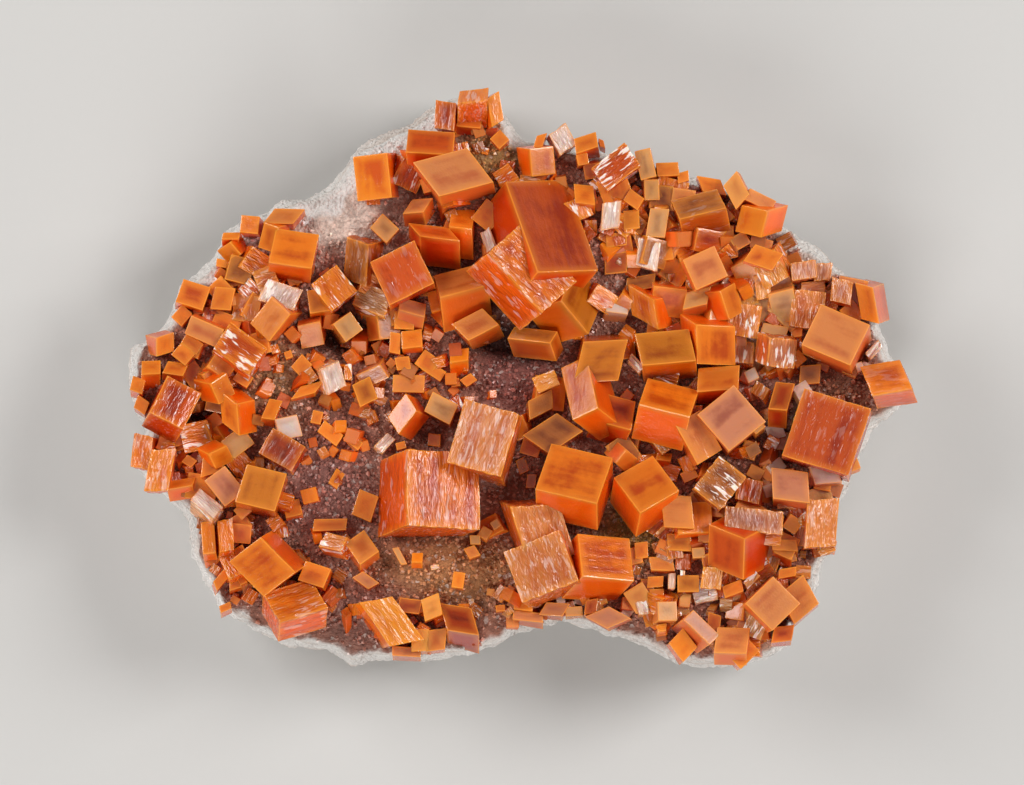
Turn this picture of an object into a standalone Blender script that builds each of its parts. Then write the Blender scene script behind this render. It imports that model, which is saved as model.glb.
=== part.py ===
"""Wulfenite: blocky orange crystals on a plate of limestone that brown druse covers.

The plate lies on its back with the crystals up. Lengths in the tables are millimetres, seen from above
with the origin at the middle of the specimen, and the model is in metres with +Z up. A crystal is a block
that is told by one corner of its front face and by the three edges that leave that corner: the first two
bound the front face and the third one runs down towards the rock. From above an edge shows only its
two level components, so its fall is worked out from the square corners that a tetragonal crystal has.
"""

import math
from collections import namedtuple

import bmesh
import bpy
import numpy as np
from mathutils import Matrix, Vector, noise

MM = 0.001
OBJECT_NAME = "wulfenite_on_limestone"

# The rock plate
ROCK_LEVEL = 14.0
RIM_DROP = 2.6
RIM_WIDTH = 6.0
TERRAIN_CELL = 4.0
TERRAIN_SIZE = (108.0, 81.0)
FIT_GAP = 0.42
BURIED = 0.7
BELOW_GROUND = -2.0

# Unevenness of the rock surface as (height, waves in a millimetre, place in the noise)
BROAD_LUMPS = (0.8, 0.085, 3.7)
FINE_LUMPS = (0.35, 0.33, 9.1)

# The same for the side wall, whose raggedness each level sets
WALL_WAVES = 0.4
WALL_WAVES_UP = 0.5
WALL_NOISE_PLACE = 20.0
NOISE_SEED = 5

# Points closer than this are one point
SMALLEST_WELD = 0.0005

# How crystals are seated: those nearer than CLOSE are joined where they touch, a third edge that shows
# from above by more than SEEN_EDGE keeps its length, and any other one runs on, up to LONGEST_ROOT times,
# into the rock
CLOSE = 0.06
SEEN_EDGE = 1.45
LONGEST_ROOT = 4.0
ROOT_STEPS = 12

# Blocks whose front face is longer than this keep a narrow chamfer, as worn crystal edges do
CHAMFERED_FROM = 7.0
CHAMFER = 0.22

Crystal = namedtuple("Crystal", "name corner lift first second third depth")
Swell = namedtuple("Swell", "x y reach_x reach_y height")
Ring = namedtuple("Ring", "height scale ragged")

# Colours as light values, the common orange, and the groups that differ from it
ORANGE = (0.62, 0.20, 0.03)
RED_ORANGE = (0.50, 0.10, 0.02)
PEACH = (0.62, 0.30, 0.13)
OCHRE = (0.46, 0.18, 0.03)
TAN = (0.48, 0.24, 0.13)
LIMESTONE = (0.58, 0.46, 0.40)
CRYSTAL_ROUGHNESS = 0.25
ROCK_ROUGHNESS = 0.9
COLOURS = {
    "upper_front_block": PEACH,
    "centre_tall": RED_ORANGE,
    "brown_face_block": OCHRE,
    "two_tone_block": OCHRE,
    "ochre_tall": OCHRE,
    "big_peach_square": PEACH,
    "milky_top_block": PEACH,
    "pink_mauve_slab": TAN,
    "fluted_peach_a": TAN,
    "fluted_peach_b": TAN,
    "pink_fluted_block": TAN,
    "corner_peach_square": PEACH,
    "lavender_plate": TAN,
}

# The outline of the plate at its widest, clockwise from the left end
OUTLINE = (
    (-49.2, 3.6), (-47.0, 5.2), (-45.0, 6.9), (-44.0, 8.6), (-42.9, 11.3), (-40.9, 13.4), (-39.0, 15.1),
    (-37.9, 17.3), (-37.4, 18.6), (-35.0, 20.1), (-32.1, 21.1), (-30.3, 22.4), (-27.4, 22.9), (-24.6, 24.0),
    (-23.0, 25.9), (-21.5, 28.2), (-20.0, 29.6), (-16.8, 31.1), (-13.6, 32.4), (-11.8, 34.1), (-8.9, 35.3),
    (-6.0, 36.2), (-3.6, 35.4), (-1.9, 33.4), (-0.6, 31.0), (0.6, 30.1), (3.4, 29.6), (7.0, 29.0),
    (10.6, 28.6), (13.9, 28.0), (17.0, 26.4), (20.8, 25.4), (25.0, 24.6), (28.6, 23.2), (31.0, 21.2),
    (33.6, 19.2), (36.3, 17.3), (38.3, 15.9), (40.8, 13.4), (42.3, 11.7), (44.1, 11.7), (44.9, 9.6),
    (45.6, 6.4), (46.8, 3.4), (48.2, 0.8), (48.9, -1.8), (48.4, -3.4), (45.8, -4.9), (44.5, -6.1),
    (43.4, -8.1), (42.2, -11.2), (40.7, -14.6), (40.0, -18.1), (39.3, -21.2), (37.9, -23.2), (37.5, -26.0),
    (36.6, -28.6), (34.5, -31.2), (33.8, -33.3), (31.3, -35.2), (28.4, -35.6), (26.3, -36.2), (22.9, -36.3),
    (19.8, -35.7), (16.7, -33.9), (13.3, -32.8), (9.1, -31.4), (5.4, -30.4), (2.0, -31.3), (-0.4, -32.0),
    (-2.8, -33.4), (-7.0, -34.7), (-12.4, -35.6), (-16.2, -35.4), (-19.7, -35.5), (-21.1, -36.1),
    (-22.9, -35.0), (-24.8, -34.1), (-27.7, -33.8), (-30.9, -33.0), (-33.4, -31.5), (-36.3, -30.1),
    (-37.7, -28.8), (-39.2, -26.6), (-40.4, -24.3), (-41.6, -22.2), (-41.4, -19.2), (-41.7, -17.4),
    (-43.9, -15.4), (-46.4, -13.6), (-48.3, -11.0), (-47.8, -8.0), (-47.3, -6.0), (-48.7, -3.5),
    (-49.4, -0.7),
)

# Levels of the broken side wall, from the flat underside up: height, scale of the outline, raggedness
WALL_RINGS = (
    Ring(0.0, 0.962, 0.25),
    Ring(3.4, 0.982, 0.55),
    Ring(7.0, 0.998, 0.40),
    Ring(10.8, 0.976, 0.25),
    Ring(30.0, 0.970, 0.20),
)

# Broad forms of the rock surface: humps are positive, hollows and caves negative
SWELLS = (
    Swell(-9.0, -24.0, 8.5, 4.2, 2.4),
    Swell(-24.0, -14.0, 9.0, 7.0, 1.0),
    Swell(2.0, 14.0, 14.0, 12.0, 2.0),
    Swell(38.0, -6.0, 10.0, 9.0, 1.0),
    Swell(-32.0, 3.0, 6.0, 6.0, 0.8),
    Swell(12.0, -22.0, 13.0, 7.0, 1.0),
    Swell(-21.5, 5.4, 4.6, 2.6, -4.0),
    Swell(-1.5, 4.6, 4.2, 2.2, -3.4),
    Swell(-39.8, -6.4, 2.4, 2.8, -3.2),
    Swell(23.4, -17.0, 2.6, 2.0, -2.6),
    Swell(32.4, -7.6, 2.8, 2.2, -2.6),
    Swell(18.4, -26.6, 2.0, 2.0, -2.0),
    Swell(-9.0, 16.0, 3.6, 4.0, -2.2),
    Swell(-2.8, -13.6, 4.2, 1.8, -1.6),
    Swell(24.0, 20.6, 5.0, 3.0, -1.0),
    Swell(14.0, -18.0, 2.2, 3.0, -1.2),
    Swell(-11.0, -6.4, 2.6, 1.8, -1.8),
)

# The crystals that carry the look: name, corner, its height over the rock level, three edges, third length
CRYSTALS = (
    # The tip and the upper left
    Crystal("notch_cube", (-16.0, 22.8), 5.0, (-4.3, -0.5), (-0.6, 5.6), (1.0, 0.1), 5.5),
    Crystal("upper_back_block", (-14.3, 28.5), 4.4, (5.9, -0.4), (0.3, 2.9), (0.3, -3.5), 6.0),
    Crystal("upper_front_block", (-10.1, 22.9), 6.6, (6.8, 1.8), (-3.3, 4.3), (0.4, -1.6), 7.0),
    Crystal("tip_block", (-7.8, 34.6), 3.6, (3.7, 0.4), (0.2, 1.6), (0.0, -3.4), 4.5),
    Crystal("tip_left_block", (-8.2, 31.1), 2.6, (-2.6, 0.4), (0.2, 3.6), (0.6, -0.5), 4.0),
    Crystal("tip_right_block", (-3.5, 31.6), 2.4, (1.5, 1.0), (-0.6, 3.6), (-0.9, -0.3), 4.0),
    Crystal("heart_back_block", (-6.0, 18.9), 3.6, (-2.9, 0.3), (0.4, 2.4), (0.2, -3.9), 5.0),
    Crystal("heart_front_block", (-7.5, 17.4), 4.2, (-5.0, 0.6), (-1.5, 1.7), (0.1, -3.6), 5.2),
    Crystal("shoulder_block", (-14.7, 20.8), 3.2, (2.6, 0.2), (1.2, 1.8), (0.3, -1.8), 4.0),
    Crystal("striped_brown_block", (-18.9, 16.9), 3.4, (-2.8, 1.0), (-0.4, -5.2), (2.0, 0.6), 4.5),
    Crystal("rough_square_left", (-16.3, 9.3), 6.6, (5.6, 2.8), (-2.5, 5.4), (0.1, -0.7), 6.0),
    Crystal("under_square_block", (-15.2, 8.8), 3.4, (3.3, -0.9), (0.2, 1.6), (-0.4, -2.2), 4.0),
    Crystal("glitter_block_left", (-23.5, 8.6), 4.0, (3.2, 2.5), (-2.6, 3.4), (-0.2, -0.6), 5.0),
    Crystal("glitter_side_block", (-26.3, 8.3), 2.4, (2.6, 0.4), (-0.4, 2.9), (0.0, -0.8), 4.0),
    Crystal("silver_plate_left", (-28.4, 8.7), 2.8, (1.3, 2.6), (-4.4, 1.4), (-0.3, -0.5), 4.0),
    Crystal("tan_glitter_block", (-17.0, 7.8), 3.0, (-4.0, 1.7), (1.0, 3.0), (0.5, -1.2), 3.5),
    Crystal("centre_left_block", (-10.0, 10.3), 5.6, (6.1, 1.6), (-0.8, 2.8), (0.5, -4.4), 6.0),
    Crystal("centre_left_low", (-6.5, 4.9), 4.4, (3.9, 2.0), (-2.1, 2.1), (0.5, -1.0), 4.5),
    # The tall group in the middle
    Crystal("centre_tall", (2.2, 13.4), 11.0, (7.6, 0.3), (-4.0, 11.4), (-3.0, -3.7), 7.0),
    Crystal("centre_striated", (2.8, 8.4), 10.2, (4.4, 3.9), (-6.8, 7.4), (-2.8, -2.2), 7.5),
    Crystal("centre_ochre", (5.1, 9.9), 7.6, (3.5, -4.2), (2.5, 6.0), (-4.5, -1.3), 5.8),
    Crystal("centre_foot", (-1.6, 5.2), 3.4, (5.4, -0.6), (0.9, 1.5), (0.8, -2.3), 4.0),
    Crystal("centre_top_right", (9.4, 21.9), 3.6, (-2.5, 0.3), (-0.2, 2.4), (0.1, -1.4), 3.6),
    # Right of the middle
    Crystal("two_tone_block", (9.7, -3.5), 8.0, (-1.4, 6.5), (-3.2, -1.5), (3.4, -2.6), 6.9),
    Crystal("two_tone_foot", (9.2, -5.0), 4.6, (4.7, -1.3), (0.6, 3.6), (-0.9, -2.2), 5.0),
    Crystal("smooth_ochre_block", (13.5, 5.1), 5.0, (-5.6, -0.3), (-1.2, -5.2), (-0.2, 0.8), 5.0),
    Crystal("brown_face_block", (15.2, 1.8), 6.4, (6.8, 0.6), (-0.9, 4.0), (0.3, -2.1), 6.5),
    Crystal("brown_back_block", (17.2, 6.3), 4.4, (-3.2, 1.8), (-0.5, 3.8), (2.5, 0.4), 4.5),
    Crystal("milky_top_block", (14.8, -3.0), 6.4, (6.4, -1.6), (1.2, 3.3), (-0.9, -4.3), 6.0),
    Crystal("streaked_block", (22.1, 2.0), 5.0, (4.9, -0.2), (-0.1, 4.9), (-2.0, 1.4), 5.0),
    Crystal("pink_fluted_block", (34.3, 1.4), 3.6, (-3.5, 0.3), (0.4, 3.6), (-1.5, 0.8), 4.0),
    Crystal("tan_top_block", (20.3, 8.8), 3.6, (3.1, 0.7), (0.5, 2.2), (0.1, -1.3), 3.0),
    Crystal("slanted_block", (26.2, 7.5), 3.8, (1.9, 1.1), (-1.2, 3.6), (-2.8, -0.2), 4.0),
    Crystal("peach_square", (22.0, 11.2), 5.4, (4.0, 1.8), (-1.7, 3.8), (-0.3, -0.4), 5.0),
    Crystal("big_peach_square", (35.1, 4.4), 6.2, (6.1, -2.6), (2.5, 5.1), (0.3, -1.2), 5.5),
    Crystal("right_edge_block", (44.9, 7.0), 3.4, (-2.2, 0.6), (-0.8, 4.6), (0.9, 0.3), 4.0),
    Crystal("right_end_block", (44.0, -2.0), 5.0, (5.0, 0.9), (-1.5, 3.7), (0.9, -1.7), 6.0),
    Crystal("fluted_peach_a", (34.0, 12.4), 3.2, (3.2, 0.5), (-0.2, 2.2), (0.0, -0.5), 3.0),
    Crystal("fluted_peach_b", (38.7, 9.9), 3.4, (2.6, -0.6), (0.3, 3.0), (0.3, -0.4), 4.0),
    # The upper right
    Crystal("red_glitter_block", (10.9, 23.6), 4.6, (4.2, 3.2), (-2.0, 2.9), (0.1, -0.5), 5.0),
    Crystal("tan_column", (15.1, 25.0), 3.0, (2.0, 0.5), (-0.8, 3.6), (0.2, -0.3), 4.0),
    Crystal("upper_edge_block", (7.0, 28.3), 2.6, (2.8, 0.9), (-0.3, 1.9), (0.2, -0.9), 4.0),
    Crystal("upper_orange_block", (1.5, 25.4), 3.2, (3.0, 0.4), (-0.3, 3.5), (-1.7, 0.3), 4.0),
    Crystal("silver_striped_small", (10.1, 18.7), 3.4, (2.3, 0.4), (0.3, 3.4), (-0.2, 0.1), 3.0),
    Crystal("peach_upright", (15.7, 17.9), 3.2, (2.4, -0.1), (0.6, 3.6), (0.1, -0.2), 3.0),
    Crystal("mauve_front_block", (19.9, 20.1), 4.6, (5.9, 1.4), (-1.1, 2.4), (0.8, -3.3), 5.5),
    Crystal("yellow_peach_block", (27.0, 21.3), 3.4, (1.7, 1.9), (-1.6, 3.0), (0.3, -0.1), 4.0),
    Crystal("pink_peach_block", (31.3, 21.0), 3.0, (0.8, 1.4), (-3.3, 1.6), (-0.4, -0.3), 4.0),
    Crystal("vivid_block", (30.1, 17.8), 4.0, (-3.2, 0.8), (0.8, 3.3), (2.7, 0.8), 4.5),
    Crystal("banded_block", (31.5, 13.7), 4.2, (1.5, 2.1), (-3.6, 1.2), (-0.2, -0.5), 4.0),
    Crystal("lavender_plate", (14.4, 14.3), 3.0, (2.8, -0.7), (0.5, 3.5), (0.1, -0.3), 3.5),
    # The left end
    Crystal("upper_left_front", (-31.4, 14.7), 5.0, (5.4, -0.8), (0.9, 4.3), (-0.3, -2.2), 6.5),
    Crystal("upper_left_small", (-32.2, 19.6), 2.4, (3.8, -0.1), (1.5, 1.9), (0.1, -0.7), 3.0),
    Crystal("left_orange_block", (-39.7, 8.7), 3.2, (-3.4, 1.1), (1.0, 2.9), (-0.2, -0.7), 4.5),
    Crystal("left_peach_block", (-41.1, 8.1), 3.0, (4.1, -1.8), (-0.9, -2.3), (0.9, 0.5), 4.5),
    Crystal("left_glitter_big", (-33.8, 0.6), 5.0, (2.2, 3.4), (-4.6, 3.3), (-0.3, -1.3), 5.0),
    Crystal("left_tan_block", (-31.4, 4.8), 3.2, (2.7, 3.4), (-2.4, 2.3), (1.2, 0.2), 4.0),
    Crystal("left_block", (-42.0, -6.2), 5.8, (-4.2, 2.2), (2.2, 4.6), (-1.3, -1.8), 6.0),
    Crystal("fluted_orange_left", (-44.0, -13.8), 3.4, (-3.0, -0.1), (0.9, 5.2), (0.2, -0.2), 4.0),
    Crystal("fluted_edge_left", (-46.5, -11.3), 2.6, (-2.3, 0.5), (0.6, 4.2), (0.4, -0.2), 3.5),
    Crystal("left_split_block", (-37.6, -3.1), 3.6, (2.0, 1.4), (-1.1, 2.6), (-2.3, 0.5), 4.5),
    Crystal("left_slant_block", (-35.1, -7.0), 4.0, (-2.2, 1.7), (-0.3, 4.0), (2.2, 0.5), 4.0),
    # The lower left
    Crystal("ochre_tall", (-30.6, -16.4), 6.0, (-5.0, 1.2), (1.5, 4.7), (0.1, -1.2), 6.5),
    Crystal("ochre_back", (-28.6, -11.5), 4.2, (-4.2, 2.4), (1.9, 3.2), (0.2, -0.6), 5.0),
    Crystal("mauve_pink_block", (-36.9, -15.8), 3.8, (-2.6, 3.2), (2.6, 1.9), (0.0, -0.3), 3.5),
    Crystal("white_glitter_small", (-38.4, -17.5), 3.2, (-2.9, 2.4), (1.3, 1.6), (-0.1, -1.6), 4.0),
    Crystal("lower_left_pair_a", (-38.0, -21.6), 3.0, (-1.7, -0.2), (-0.3, 4.0), (0.2, -1.4), 4.0),
    Crystal("lower_left_pair_b", (-35.7, -21.2), 3.4, (-1.9, -0.4), (-0.3, 4.0), (-0.3, -1.4), 4.0),
    Crystal("peach_diamond", (-32.0, -27.1), 5.2, (4.0, 3.1), (-4.4, 4.4), (1.5, 0.9), 6.0),
    Crystal("banded_corner_block", (-30.0, -30.2), 6.2, (6.0, 1.8), (-2.2, 3.6), (-0.2, -2.6), 4.8),
    Crystal("diamond_side_block", (-24.6, -26.0), 3.6, (-3.2, 1.0), (1.0, 2.4), (0.2, -0.6), 3.5),
    Crystal("white_streak_block", (-25.3, -20.8), 3.4, (2.8, -0.6), (1.0, 1.8), (0.9, -1.2), 3.5),
    Crystal("glint_edge_block", (-20.0, -23.1), 4.4, (2.4, 1.7), (-1.9, 2.7), (0.1, -1.2), 4.0),
    Crystal("tan_pink_pair", (-19.0, -26.2), 2.6, (1.4, 0.8), (-2.0, 1.5), (0.0, -0.4), 3.0),
    # The two biggest blocks, left of the middle
    Crystal("big_ridged_block", (-14.0, -18.1), 9.4, (9.0, -0.6), (-0.1, 9.5), (-4.0, -1.7), 10.1),
    Crystal("second_ridged_block", (-2.4, -12.1), 8.4, (-6.8, 1.9), (2.3, 7.9), (0.5, -1.0), 7.0),
    Crystal("wedge_block", (-15.2, -6.8), 4.0, (2.3, 3.0), (-1.4, 2.2), (1.6, -0.8), 3.8),
    Crystal("tan_glass_block", (-8.8, -5.6), 3.6, (-3.2, 1.7), (1.1, 2.5), (0.1, -0.3), 3.4),
    # Below the middle
    Crystal("brown_glass_block", (3.6, -9.2), 4.4, (-3.3, 2.3), (4.3, 2.8), (0.0, -0.5), 4.0),
    Crystal("front_banded_block", (9.6, -15.4), 9.4, (-7.7, 1.8), (2.0, 5.7), (0.1, -3.4), 6.4),
    Crystal("corner_cube", (15.0, -16.6), 7.6, (4.9, 2.8), (-3.3, 4.4), (-0.5, -3.1), 6.2),
    Crystal("beside_cube", (18.0, -18.4), 4.4, (3.8, -0.2), (-0.4, 4.1), (0.0, -0.3), 4.5),
    Crystal("pink_fluted_big", (-1.2, -15.8), 6.6, (6.2, 0.3), (1.9, -6.4), (-1.4, 0.7), 6.5),
    Crystal("white_face_block", (0.3, -27.8), 6.6, (7.0, 2.8), (-2.4, 6.3), (1.1, -0.9), 6.4),
    Crystal("front_orange_block", (7.8, -24.5), 7.2, (6.5, -0.6), (-0.6, 5.3), (-2.6, -2.9), 6.8),
    Crystal("pink_wedge", (10.9, -31.1), 3.0, (3.0, 1.3), (-2.8, 1.5), (0.2, -0.3), 4.0),
    # The lower right
    Crystal("slab_back_block", (22.1, -1.5), 4.2, (5.2, 0.4), (0.2, 3.0), (0.1, -1.6), 4.5),
    Crystal("peach_slab", (26.1, -8.9), 6.4, (4.6, 3.7), (-4.0, 4.6), (-0.2, -0.6), 6.0),
    Crystal("peach_slab_side", (22.2, -10.6), 5.2, (3.1, 1.9), (-2.8, 5.0), (-0.6, -0.3), 5.0),
    Crystal("rough_square_right", (41.0, -12.0), 6.6, (-8.4, 2.6), (2.9, 8.4), (0.2, -0.6), 6.2),
    Crystal("dark_orange_block", (33.4, -3.8), 4.6, (-2.4, 0.2), (1.0, 3.4), (0.0, -2.3), 5.0),
    Crystal("silver_striated", (25.0, -16.3), 5.6, (3.3, 4.1), (-3.4, 2.8), (-0.2, -0.3), 4.5),
    Crystal("tan_square", (31.6, -14.8), 4.4, (4.6, -0.6), (-0.2, 3.9), (0.1, -0.9), 4.0),
    Crystal("right_column", (39.5, -20.7), 4.4, (-4.0, -0.3), (0.4, 6.0), (-0.1, -0.3), 5.0),
    Crystal("pink_mauve_slab", (25.6, -18.6), 4.2, (7.2, -0.8), (0.1, 2.9), (0.0, -0.4), 4.0),
    Crystal("clear_orange_block", (27.9, -25.0), 5.0, (-4.4, 1.8), (0.1, 5.2), (3.3, 1.6), 6.0),
    Crystal("corner_peach_square", (31.5, -31.3), 6.2, (3.5, 3.4), (-3.4, 3.4), (-0.5, -0.4), 5.5),
    Crystal("corner_peach_side", (34.3, -30.5), 4.2, (3.1, 2.6), (-2.0, 3.6), (0.0, -0.4), 4.5),
    Crystal("lower_mauve_block", (23.7, -33.1), 4.2, (-3.3, 3.2), (1.3, 1.2), (-1.5, -1.2), 4.5),
    Crystal("lower_square", (24.2, -34.1), 4.4, (4.1, -0.1), (0.5, 3.2), (0.1, -1.6), 4.0),
    Crystal("bright_orange_tip", (20.4, -35.3), 3.0, (1.8, 1.9), (-1.8, 2.4), (-0.2, -0.3), 3.5),
    Crystal("tan_square_low", (17.3, -30.1), 3.6, (2.4, 0.0), (-0.1, 2.4), (-0.6, -0.4), 2.8),
    # The bottom edge
    Crystal("yellow_block", (-16.2, -33.3), 4.0, (4.2, 0.9), (-3.9, 5.4), (-0.9, -0.3), 5.0),
    Crystal("yellow_round_block", (-11.9, -30.2), 3.4, (2.2, 0.9), (-0.5, 2.7), (0.0, -0.4), 3.5),
    Crystal("dark_red_block", (-5.1, -31.9), 3.8, (-4.0, 0.6), (-1.0, 3.4), (0.0, -1.4), 4.0),
)

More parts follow.
